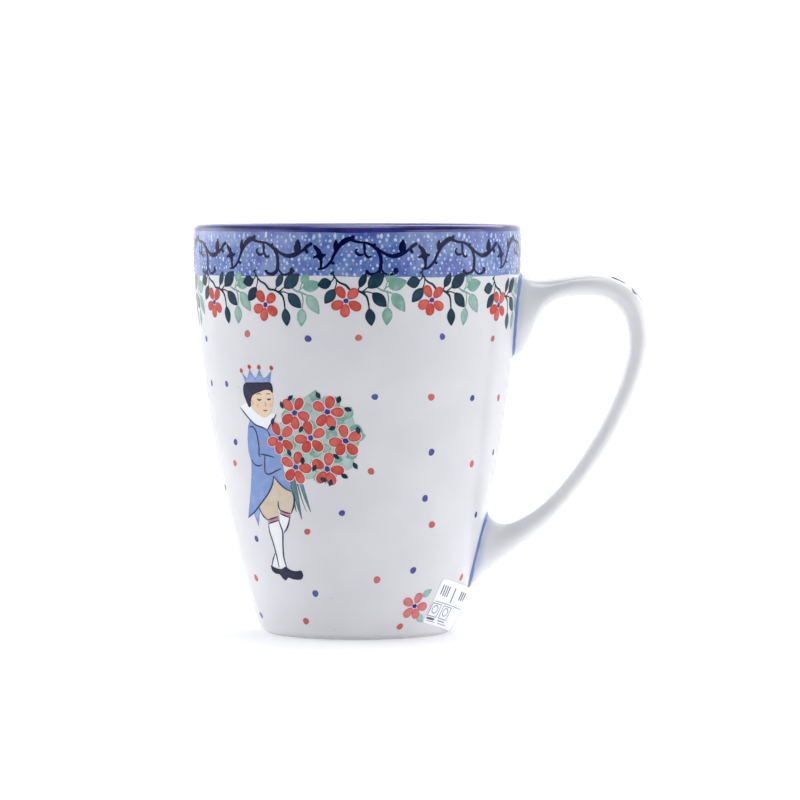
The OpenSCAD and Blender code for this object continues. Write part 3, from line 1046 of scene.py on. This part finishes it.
# Middle of each small dark leaf, and the way it points
BOUQUET_DARK = [
    (-6.1, 10.5, 40), (-8.7, 8.5, 110), (1.8, 11.3, 120), (7.3, 10.2, 70), (9.6, 7.6, -20), (5.2, 2.5, 200),
    (12, 2, 100), (-3.4, 2.1, 60), (-7.2, -4.3, 120), (-3.4, -6.4, 80), (-0.2, -8.3, 240), (5.9, -5.1, -40),
    (10.8, -7.6, -60), (2.2, -11.4, 160), (4, -12.2, 250), (7.8, -10.4, -30), (-11.9, 3.9, 80)]
BOUQUET_MIDDLE = (1.0, 0.0)
BOUQUET_AZ = -16.5
BOUQUET_Z = 55.0
WASH_R = 11.3
WASH_CORNERS = 26
# Radius of each ring of pale leaves, and how many are in it
LEAF_RINGS = [(11.0, 19), (8.0, 14), (4.2, 8)]


def bouquet(paints, spot):
    """A round bunch of flowers over a pale wash and leaves, with dark leaves tucked between them."""
    dice = random.Random(31)
    cx, cy = BOUQUET_MIDDLE
    wash = []
    for a in np.linspace(0, 2 * math.pi, WASH_CORNERS, endpoint=False):
        r = WASH_R + dice.uniform(-0.8, 0.8)
        wash.append((cx + r * math.cos(a), cy + r * math.sin(a)))
    paints["bouquet_wash"].area(spline(wash, 6, closed=True), spot)
    for ring_r, count in LEAF_RINGS:
        for k in range(count):
            a = 2 * math.pi * (k + dice.uniform(-0.3, 0.3)) / count
            base = np.array([cx + (ring_r - 1.8) * math.cos(a), cy + (ring_r - 1.8) * math.sin(a)])
            swing = a + dice.uniform(-1.1, 1.1)
            tip = base + np.array([math.cos(swing), math.sin(swing)]) * dice.uniform(3.0, 3.9)
            paints["bouquet_pale_leaves"].area(leaf(base, tip, dice.uniform(2.2, 3.0), bulge=0.5), spot)
    for x, y, turn in BOUQUET_FLOWERS:
        flower(paints["bouquet_petals"], paints["bouquet_hearts"], spot, (x, y), 1.06, turn,
               paints["bouquet_petal_edges"])
    for x, y, turn in BOUQUET_DARK:
        way = np.array([math.cos(math.radians(turn)), math.sin(math.radians(turn))])
        middle = np.array([x, y])
        outline = leaf(middle - way * 1.1, middle + way * 1.1, dice.uniform(1.1, 1.4), bulge=0.5)
        paints["bouquet_dark_leaves"].area(outline, spot)


def polygon(points, steps=0.6):
    """Outline with straight sides, its points no further apart than a step."""
    out = []
    for p, q in zip(points, points[1:] + points[:1]):
        p, q = np.array(p, float), np.array(q, float)
        count = max(1, int(math.ceil(np.linalg.norm(q - p) / steps)))
        out.extend(p + (q - p) * k / count for k in range(count))
    return np.array(out)


# The crowned youth who carries the bouquet, a generic folk figure drawn for this mug: x in millimetres to the
# right of FIGURE_AZ, and height above the table
FIGURE_AZ = -39.0
COAT = [
    (-3.9, 59.4), (-5.1, 57.4), (-5.9, 54), (-6.1, 50.6), (-5.4, 47.8), (-5.9, 44.6), (-7.2, 40),
    (-8.8, 35.6), (-10.1, 32.4), (-6.7, 34.3), (-3.5, 36.8), (-0.6, 39.4), (1.4, 42), (2.3, 44.2),
    (3.6, 42.7), (5.5, 41.2), (7.4, 40.3), (6.8, 43), (5.6, 46), (5.8, 50), (5.6, 54), (4.2, 57.6),
    (2.6, 58.6), (0.5, 57.8), (-1.6, 58.2)]
REAR_TAIL = [(-7.4, 34.4), (-5.9, 30.2), (-4.9, 33.2), (-3.6, 36.4)]
COAT_LINES = [
    [(-4.7, 57.2), (-3.4, 57.3), (-2.3, 56.2), (-1.9, 54), (-1.8, 51.6), (-2.1, 49.8), (-1.7, 49.3)],
    [(-5.2, 48.4), (-4.2, 47.2), (-2.9, 46.8), (-1.3, 47.2)],
    [(-1.7, 50.1), (-0.2, 49.9), (1.4, 49.7), (3.2, 49.3)],
    [(0, 49.8), (-0.4, 47.4), (-0.6, 45.4), (0.2, 44.7), (1.6, 45), (3.2, 45.7), (4.9, 46.4)],
    [(-10.1, 32.4), (-6.7, 34.2), (-3.5, 36.7), (-0.6, 39.3), (1.3, 41.8), (2.2, 44.3)],
    [(2.2, 44.2), (3.6, 42.6), (5.4, 41.1), (7.3, 40.3)], [(1.6, 56.6), (2.4, 55.2), (2.9, 53.6), (3, 52.6)]]
BREECHES = [
    (2.3, 44), (3.6, 42.4), (5.5, 40.9), (7.4, 40.2), (7.8, 38.4), (7.3, 36.2), (6.2, 34.4), (4.5, 34.7),
    (2.8, 35.2), (2.2, 35.4), (2, 33.4), (0, 32.8), (-1.9, 32.2), (-3.5, 33.4), (-4.6, 35.6), (-3.4, 37),
    (-0.6, 39.5), (1.3, 42)]
BREECHES_LINES = [
    [(7.4, 40.2), (7.8, 38.6), (7.3, 36.3), (6.3, 34.4)], [(-4.6, 35.6), (-3.5, 33.4), (-1.9, 32.2)],
    [(2.6, 37.6), (2.5, 36.2), (2.8, 35.1)], [(2.7, 35.2), (4.5, 34.6), (6.2, 34.3)],
    [(-2, 32.2), (0, 32.8), (2.1, 33.4)], [(-1.9, 31.2), (0, 31.8), (2.1, 32.4)],
    [(2.7, 34.2), (4.4, 33.6), (5.9, 33.3)]]
GARTERS = [[(-1.9, 31.7), (0, 32.3), (2.1, 32.9)], [(2.7, 34.7), (4.4, 34.1), (6, 33.8)]]
FRONT_STOCKING = [
    (-1.8, 31.3), (-1.8, 29), (-1.1, 26), (-0.6, 22.6), (-0.4, 19.4), (2.2, 19.4), (1.8, 22.4), (2.2, 26),
    (2.7, 29.2), (2.3, 31), (2, 32.4), (0, 31.8)]
REAR_STOCKING = [
    (2.8, 34.2), (4.4, 33.7), (5.7, 33.3), (5, 31.6), (4.2, 30.2), (3.2, 29), (2.5, 29.2), (2.2, 32)]
REAR_ANKLE = [(-3, 19.6), (-2.2, 21.5), (-1, 23.5), (-0.6, 22), (-0.5, 19.4)]
STOCKING_LINES = [
    [(-1.8, 31.2), (-1.8, 29), (-1.1, 26), (-0.6, 22.6), (-0.4, 19.5)],
    [(2, 32.3), (2.3, 31), (2.7, 29.2), (2.2, 26), (1.8, 22.4), (2.2, 19.5)],
    [(5.6, 33.2), (5, 31.6), (4.2, 30.2), (3.1, 29)], [(-1, 23.3), (-2.2, 21.4), (-3, 19.6)]]
SHOES = [
    (-3.3, 19.9), (-2, 19.3), (-0.2, 19), (0.7, 19.2), (1.9, 19.8), (3.2, 19), (5, 18.7), (6.6, 18.9),
    (7, 17.7), (6.2, 16.5), (3.9, 16.4), (2.2, 16.8), (1.2, 16), (0.2, 16.5), (-0.6, 17.5), (-2.2, 17.7),
    (-3.3, 18.6)]
COLLAR = [
    (-7.6, 62.4), (-6, 60.9), (-4.2, 59.3), (-2.2, 57.9), (0.4, 57.2), (1.8, 56.6), (2.6, 57.6), (3.8, 59),
    (5.2, 60.9), (4, 61.2), (2.6, 60.6), (0.8, 60.4), (-1, 60.8), (-2.4, 61.8), (-4, 63.6), (-5.6, 63.4)]
COLLAR_LINES = [
    [(-7.6, 62.4), (-6, 60.9), (-4.2, 59.3), (-2.2, 57.9), (0.4, 57.2), (1.8, 56.6)],
    [(1.8, 56.6), (2.7, 57.7), (3.9, 59), (5.2, 60.9)]]
FACE = [
    (-3.9, 66), (-3.3, 63.9), (-2, 61.9), (-0.2, 60.4), (1.3, 59.9), (2.8, 60.6), (4.1, 62.3), (4.7, 64.6),
    (4.6, 67), (3, 68.6), (0, 68.7), (-2.8, 68.2)]
HAIR = [
    (-4.5, 69), (-1.6, 69.2), (1.6, 69.3), (4.3, 69.3), (4.9, 67.9), (4.7, 66.5), (3.9, 67.2), (2.4, 67.3),
    (0.8, 66.8), (-0.8, 66.3), (-2.2, 65.6), (-2.9, 64.4), (-3.2, 62.9), (-4, 62.5), (-4.8, 64), (-5.6, 66),
    (-5.5, 67.9)]
CROWN = [
    (-4.5, 68.6), (-1.5, 68.4), (1.5, 68.6), (4.2, 69), (4.6, 70.8), (5, 72.6), (3.3, 70.9), (2.2, 70.4),
    (1.6, 71.4), (0.9, 72.8), (0.2, 71.4), (-0.6, 70.4), (-1.6, 71.3), (-2.5, 72.8), (-3, 71.4),
    (-3.6, 70.2), (-4.6, 70.9), (-5.6, 71.8), (-4.9, 70)]
CROWN_BALLS = [(-5.7, 72.2), (-2.5, 73.3), (0.9, 73.3), (5.0, 73.2)]
EYES = [[(-0.7, 64.9), (0.0, 64.5), (0.8, 64.8)], [(2.7, 65.0), (3.3, 64.7), (4.0, 65.1)]]
BROWS = [[(-0.9, 65.9), (0.0, 66.3), (0.9, 66.1)], [(2.6, 66.1), (3.3, 66.4), (4.0, 66.1)]]
NOSE = [(1.9, 64.1), (2.25, 63.3), (1.85, 63.0)]
MOUTH = [(1.1, 61.9), (1.8, 61.75), (2.5, 61.95)]
CHEEKS = [(-0.7, 63.1), (3.7, 63.3)]
EAR = [(-2.7, 64.3), (-2.2, 63.8), (-2.5, 63.1)]
STEMS = [
    ([(7.8, 44.5), (8.5, 39), (9.2, 32.9)], [2, 1.5, 0.25]),
    ([(7, 42), (7.5, 38), (7.9, 34.8)], [1, 0.8, 0.2]),
    ([(10.2, 43.5), (11.2, 38.6), (12.1, 34.9)], [1.2, 0.9, 0.2]),
    ([(9.3, 42.5), (10.1, 38), (10.9, 35)], [0.5, 0.3, 0.15])]


def figure(paints):
    """The youth, painted from the bouquet's stems outwards to the ink lines and the plain small face."""
    spot = Place(FIGURE_AZ, 0, upright=True)
    smooth = lambda points: spline(points, 3, closed=True)
    for points, widths in STEMS:
        paints["bouquet_stems"].stroke(points, widths, spot)
    whites = [("collar_and_stockings", polygon(outline))
              for outline in (FRONT_STOCKING, REAR_STOCKING, REAR_ANKLE, COLLAR)]
    for name, outline in [("coat_tail", polygon(REAR_TAIL)), ("coat_and_crown", polygon(COAT)),
                          ("coat_and_crown", polygon(CROWN, 0.5)), ("breeches", smooth(BREECHES)), *whites,
                          ("shoes", smooth(SHOES)), ("face", smooth(FACE)), ("hair", smooth(HAIR))]:
        paints["figure_" + name].area(outline, spot)
    dice = paints["figure_coral_details"].dice
    for ball in CROWN_BALLS:
        paints["figure_coral_details"].area(blob(ball, 0.6, dice), spot)
    for points in COAT_LINES + BREECHES_LINES + STOCKING_LINES + COLLAR_LINES:
        paints["figure_outlines"].stroke(points, [0.22] + [0.4] * (len(points) - 2) + [0.24], spot)
    for name, lines, widths in (("garters", GARTERS, 0.55), ("outlines", EYES, [0.2, 0.5, 0.2]),
                                ("outlines", BROWS, [0.12, 0.24, 0.12]),
                                ("coral_details", [MOUTH], [0.15, 0.42, 0.15]),
                                ("features", [NOSE, EAR], [0.14, 0.26, 0.14])):
        for points in lines:
            paints["figure_" + name].stroke(points, widths, spot)
    for cheek in CHEEKS:
        paints["figure_cheeks"].area(blob(cheek, 0.62, dice), spot)


FOOT_FLOWER_AZ = 31.8
FOOT_FLOWER_Z = 9.1


def foot_flower(paints):
    """The single flower low on the wall beside the label."""
    spot = Place(FOOT_FLOWER_AZ, FOOT_FLOWER_Z)
    paints["foot_flower_leaves"].area(leaf((1.9, 2.6), (5.0, 4.6), 2.1), spot)
    paints["foot_flower_leaves"].area(leaf((1.6, -2.6), (3.6, -5.0), 2.2), spot)
    flower(paints["foot_flower_petals"], paints["garland_hearts"], spot, size=0.95, turn=27)


SPRIG_X = 74.5
SPRIG_Z = 94.0
# Foot of each pair of leaves, the angle they open to and their length
SPRIG_LEAVES = [(-2.8, -0.3, 60, 2.4), (1.1, 0.1, 75, 4.2), (3.2, 0.1, 55, 2.2)]


def handle_sprig(violet):
    """A little sprig across the outer bend of the handle; its tips show in the side view."""
    spine = HANDLE_PLACES[:, 0]
    spot = HandlePlace(int(np.argmin(np.hypot(spine[:, 0] - SPRIG_X, spine[:, 2] - SPRIG_Z))))
    violet.stroke([(-4.5, -0.6), (0, 0.5), (4.5, 0)], [0.5, 0.6, 0.3], spot)
    for x, y, way, length in SPRIG_LEAVES:
        for side in (1, -1):
            angle = math.radians(way * side)
            tip = (x + length * math.cos(angle), y + length * math.sin(angle))
            # polygon() adds an array's first point to the end of each side, so these edges are ragged
            violet.area(polygon(leaf((x, y), tip, 1.5), 0.3), spot, 0.4)


# ---- the paper label -------------------------------------------------------------------

LABEL_AZ = 57.0
LABEL_Z = 8.6
LABEL_TILT = -14.5
LABEL_L = 14.5
LABEL_H = 12.8
LABEL_T = 0.12
LABEL_CORNER_R = 1.2
LABEL_CURL = 1.9


def label_curl(points):
    """How far the label's free upper corner has come away from the wall."""
    along = smooth_step((points[:, 0] + 1.5) / (LABEL_L / 2 + 1.5))
    up = smooth_step((points[:, 1] + LABEL_H * 0.45) / LABEL_H)
    return LABEL_CURL * along * (0.25 + 0.75 * up)


def label_outline():
    half_l, half_h = LABEL_L / 2 - LABEL_CORNER_R, LABEL_H / 2 - LABEL_CORNER_R
    points = []
    for x, y, start in ((half_l, half_h, 0), (-half_l, half_h, 90), (-half_l, -half_h, 180),
                        (half_l, -half_h, 270)):
        points += arc((x, y), LABEL_CORNER_R, start, start + 90, 5)
    return polygon(points, 0.8)


def label_paper(material):
    """The label: a bent slab of paper standing in for the CAD's flat-lying one."""
    points, triangles, _ = triangulate(label_outline(), 0.9)
    spot = Place(LABEL_AZ, LABEL_Z, LABEL_TILT, label_curl)
    verts = np.concatenate([spot(points, LABEL_T)[0], spot(points, 0.0)[0]])
    faces = slab_faces(points, triangles)
    add_piece("price_label_paper", verts, faces, "paper_label", material)


# Upright bars as (x, low, high), and rules as (y, left, right)
LABEL_BARS = [(-5.6, 2.1, 4.9), (-4.5, 1.8, 4.9), (-3.5, 1.8, 4.9), (-2.5, 1.8, 4.9), (0.3, 0.6, 4.9),
              (3.2, 2.1, 4.7), (4.0, 2.1, 4.7), (4.9, 2.1, 4.7)]
LABEL_RULES = [(0, -6.4, 6.4), (-5.6, -6.2, -2.6), (-5.6, -1.2, 3.0)]


def label_print(ink):
    """Plain bars, rules and two framed signs in place of the shop's print; none of it is lettering."""
    spot = Place(LABEL_AZ, LABEL_Z, LABEL_TILT, lambda points: label_curl(points) + LABEL_T)
    for x, low, high in LABEL_BARS:
        ink.stroke([(x, low), (x, high)], 0.42, spot)
    for y, left, right in LABEL_RULES:
        ink.stroke([(left, y), (right, y)], 0.16, spot)
    for x in (-5.0, 0.0):
        corners = [(x - 1.9, -4.2), (x + 1.9, -4.2), (x + 1.9, -0.6), (x - 1.9, -0.6)]
        for side in zip(corners, corners[1:] + corners[:1]):
            ink.stroke(side, 0.2, spot)
        ring = [(x + 1.1 * math.cos(a), -2.2 + 1.1 * math.sin(a)) for a in np.linspace(0, 2 * math.pi, 13)]
        ink.stroke(ring, 0.22, spot)
        ink.stroke([(x - 1.7, -4.9), (x + 1.7, -4.9)], 0.6 if x < 0 else 0.25, spot)


# ---- build everything ------------------------------------------------------------------

# Underglaze colours as 0-255 screen values: full, thin, and pooled at an edge
COLOURS = {
    "coral_paint": ((190, 72, 64), (212, 102, 94), (180, 62, 54)),
    "pale_leaf_paint": ((114, 160, 147), (160, 188, 180), (107, 155, 142)),
    "dark_leaf_paint": ((18, 46, 66), (34, 70, 86), (16, 40, 60)),
    "violet_paint": ((52, 46, 140), (84, 80, 170), (50, 44, 130)),
    "ink_blue_paint": ((2, 10, 58), (12, 24, 70), (2, 10, 56)),
    "leaf_wash": ((166, 191, 184), (190, 207, 203), (152, 181, 173)),
    "coral_dot_paint": ((192, 94, 94), (204, 114, 115), (196, 104, 106)),
    "rose_paint": ((202, 104, 106), (214, 126, 130), (198, 100, 104)),
    "grey_leaf_paint": ((140, 176, 168), (170, 197, 192), (134, 172, 165)),
    "blue_dot_paint": ((74, 74, 144), (96, 96, 164), (82, 82, 150)),
    "sponge_dot_paint": ((168, 188, 224), (202, 215, 236), (148, 170, 214)),
    "sprig_paint": ((146, 154, 204), (172, 178, 216), (142, 150, 200)),
    "stem_paint": ((92, 122, 132), (118, 146, 154), (70, 100, 112)),
    "sky_blue_paint": ((130, 154, 206), (152, 172, 216), (112, 137, 193)),
    "sand_paint": ((203, 188, 162), (213, 200, 181), (196, 178, 150)),
    "skin_paint": ((236, 210, 182), (242, 220, 196), (232, 204, 174)),
    "feature_paint": ((186, 128, 98), (196, 140, 110), (180, 120, 92)),
    "blush_paint": ((234, 184, 160), (238, 192, 168), (236, 200, 176)),
    "garter_paint": ((200, 132, 148), (212, 150, 164), (188, 118, 136)),
    "outline_paint": ((52, 62, 96), (66, 76, 112), (50, 60, 94)),
    "hair_paint": ((50, 50, 72), (64, 62, 84), (44, 44, 66)),
    "collar_paint": ((238, 239, 244), (244, 244, 248), (236, 237, 243)),
    "label_ink": ((96, 100, 124), (120, 124, 146), (90, 94, 118)),
}
# How far the pooled edge reaches into a stroke, in millimetres, where it is not 0.45
EDGE_MM = {"sponge_dot_paint": 0.25, "blush_paint": 0.6}
# Painted pieces: slot, layer from the wall outwards, and the colour if it is not the slot's own
PAINTED = {
    "garland_pale_stems": ("pale_leaf_paint", 0),
    "garland_pale_leaves": ("pale_leaf_paint", 1),
    "garland_dark_stems": ("dark_leaf_paint", 2),
    "garland_dark_leaves": ("dark_leaf_paint", 3),
    "garland_petals": ("coral_paint", 4),
    "garland_hearts": ("violet_paint", 5),
    "foot_flower_leaves": ("pale_leaf_paint", 1, "grey_leaf_paint"),
    "foot_flower_petals": ("coral_paint", 4, "rose_paint"),
    "sponge_dots": ("sponged_blue_glaze", 0, "sponge_dot_paint"),
    "border_scroll": ("ink_blue_paint", 1),
    "coral_dots": ("coral_paint", 0, "coral_dot_paint"),
    "blue_dots": ("violet_paint", 0, "blue_dot_paint"),
    "bouquet_stems": ("dark_leaf_paint", 0, "stem_paint"),
    "bouquet_wash": ("pale_leaf_paint", 5, "leaf_wash"),
    "bouquet_pale_leaves": ("pale_leaf_paint", 6),
    "bouquet_petal_edges": ("white_glaze", 7, "collar_paint"),
    "bouquet_petals": ("coral_paint", 8),
    "bouquet_hearts": ("violet_paint", 9),
    "bouquet_dark_leaves": ("dark_leaf_paint", 9),
    "figure_coat_tail": ("sky_blue_paint", 0),
    "figure_breeches": ("sand_paint", 1),
    "figure_coat_and_crown": ("sky_blue_paint", 2),
    "figure_collar_and_stockings": ("white_glaze", 3, "collar_paint"),
    "figure_shoes": ("ink_blue_paint", 4, "hair_paint"),
    "figure_face": ("sand_paint", 4, "skin_paint"),
    "figure_hair": ("ink_blue_paint", 5, "hair_paint"),
    "figure_cheeks": ("coral_paint", 5, "blush_paint"),
    "figure_garters": ("coral_paint", 4, "garter_paint"),
    "figure_coral_details": ("coral_paint", 6),
    "figure_features": ("sand_paint", 6, "feature_paint"),
    "figure_outlines": ("ink_blue_paint", 6, "outline_paint"),
    "label_print": ("label_ink", 0),
    "handle_sprig": ("violet_paint", 4, "sprig_paint"),
}


def cup_and_handle():
    """The clay cup, its coats, and the handle with a joint at each end."""
    white, clay = white_glaze("white_glaze"), bare_clay()
    clay_cup(clay)
    wall_coat(white)
    band_coat(sponged_blue())
    lip_coat(cobalt_glaze())
    inside_coat(white)
    foot_coat(white)
    last = HANDLE_RINGS - 1
    below = last - JOINT_RINGS
    # the handle and its joints take the lighter whites, painted light over the same glaze as the wall
    glaze = lambda name, bleed: white_glaze(name, bleed, HANDLE_LIT_COOL, HANDLE_LIT_WARM)
    handle_part("handle_white_glaze", JOINT_RINGS, below, "handle_glaze",
                glaze("handle_glaze", 0.0))
    handle_part("upper_joint_slip", 0, JOINT_RINGS, "upper_slip_joint",
                glaze("upper_joint_glaze", 0.25))
    handle_part("lower_joint_slip", below, last, "lower_slip_joint",
                glaze("lower_joint_glaze", 0.6))
    # inside its glaze the handle is the CAD's own clay
    handle_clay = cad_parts["stoneware_handle"].data.materials
    handle_clay.clear()
    handle_clay.append(clay)


def decoration():
    """Paint every motif, then make each colour's strokes into its piece."""
    colours = {name: underglaze(name, *three, EDGE_MM.get(name, 0.45)) for name, three in COLOURS.items()}
    paints = {name: Paint(name, slot, layer, colours[own[0] if own else slot])
              for name, (slot, layer, *own) in PAINTED.items()}
    garland(paints)
    foot_flower(paints)
    sponge_dots(paints["sponge_dots"])
    scroll_border(paints["border_scroll"])
    dots(paints["coral_dots"], paints["blue_dots"])
    bouquet(paints, Place(BOUQUET_AZ, BOUQUET_Z))
    figure(paints)
    label_print(paints["label_print"])
    handle_sprig(paints["handle_sprig"])
    for paint in paints.values():
        paint.build()


cup_and_handle()
label_paper(label_white())
decoration()


# ---- stage and light -------------------------------------------------------------------

FLOOR_DROP = 0.00005
FLOOR_HALF = 40.0
FLOOR_FRONT = -0.6
FLOOR_GLOW = 0.27
FAR_GLOW = 0.3


def stage():
    """A wide pale floor that glows a little, more so far behind the mug, so that it reads as plain white."""
    mesh = bpy.data.meshes.new("floor")
    corners = [(-FLOOR_HALF, FLOOR_FRONT), (FLOOR_HALF, FLOOR_FRONT), (FLOOR_HALF, FLOOR_HALF),
               (-FLOOR_HALF, FLOOR_HALF)]
    mesh.from_pydata([(x, y, -FLOOR_DROP) for x, y in corners], [], [(0, 1, 2, 3)])
    floor = bpy.data.objects.new("floor", mesh)
    bpy.context.scene.collection.objects.link(floor)
    shader = Shader("pale_floor", 0.6)
    shader.surface.inputs["Specular IOR Level"].default_value = 0.2
    shader.surface.inputs["Emission Color"].default_value = (1, 1, 1, 1)
    near = shader.span(shader.axis("Y"), -0.8, -0.4, 0.0, FLOOR_GLOW)
    far = shader.span(shader.axis("Y"), 0.8, 2.0, 0.0, FAR_GLOW)
    shader.link(shader.math("ADD", near, far), shader.surface.inputs["Emission Strength"])
    shader.colour(shader.mix(shader.noise(60, 2.0), srgb(247, 247, 250), srgb(250, 250, 252)))
    mesh.materials.append(shader.material)


def softbox(name, at, aim, size, watts):
    data = bpy.data.lights.new(name, "AREA")
    data.shape = "RECTANGLE"
    data.size, data.size_y = size
    data.energy = watts
    light = bpy.data.objects.new(name, data)
    light.location = at
    light.rotation_euler = (Vector(aim) - Vector(at)).to_track_quat("-Z", "Y").to_euler()
    bpy.context.scene.collection.objects.link(light)


SKY_BACK = 1.43
SKY_LEFT = 2.4
SKY_RIGHT = 0.64
SKY_ABOVE = 0.36
SKY_TOP = 4.5
RIGHT_BOX_W = 7.2
HANDLE_BOX_W = 0.36


def sky():
    """A light tent: bright behind and at the sides, bright overhead and dark on the camera's side."""
    world = bpy.data.worlds.new("studio")
    bpy.context.scene.world = world
    world.use_nodes = True
    tree = world.node_tree
    background = tree.nodes["Background"]
    split = tree.nodes.new("ShaderNodeSeparateXYZ")
    tree.links.new(tree.nodes.new("ShaderNodeTexCoord").outputs["Generated"], split.inputs["Vector"])
    x, y, z = (split.outputs[axis] for axis in "XYZ")
    left = map_range(tree, x, -0.9, -0.45, SKY_LEFT, 0.0)
    right = map_range(tree, x, 0.45, 0.9, 0.0, SKY_RIGHT)
    behind = map_range(tree, y, -0.3, 0.8, 0.0, SKY_BACK)
    around = combine(tree, "ADD", behind, combine(tree, "ADD", left, right))
    around = combine(tree, "MULTIPLY", around, map_range(tree, z, 0.2, 0.8, 1.0, 0.0))
    above = combine(tree, "ADD", map_range(tree, z, 0.6, 0.95, 0.0, SKY_ABOVE),
                    map_range(tree, z, 0.94, 0.985, 0.0, SKY_TOP))
    tree.links.new(combine(tree, "ADD", around, above), background.inputs["Strength"])
    background.inputs["Color"].default_value = (0.97, 0.98, 1.0, 1.0)


stage()
sky()
softbox("right_softbox", (1.2, -0.5, 0.36), (0, 0, 0.1), (1.7, 0.7), RIGHT_BOX_W)
softbox("handle_softbox", (0.14, 0.22, 0.34), (0.055, 0, 0.09), (0.3, 0.2), HANDLE_BOX_W)
bpy.context.scene.view_settings.view_transform = "Standard"
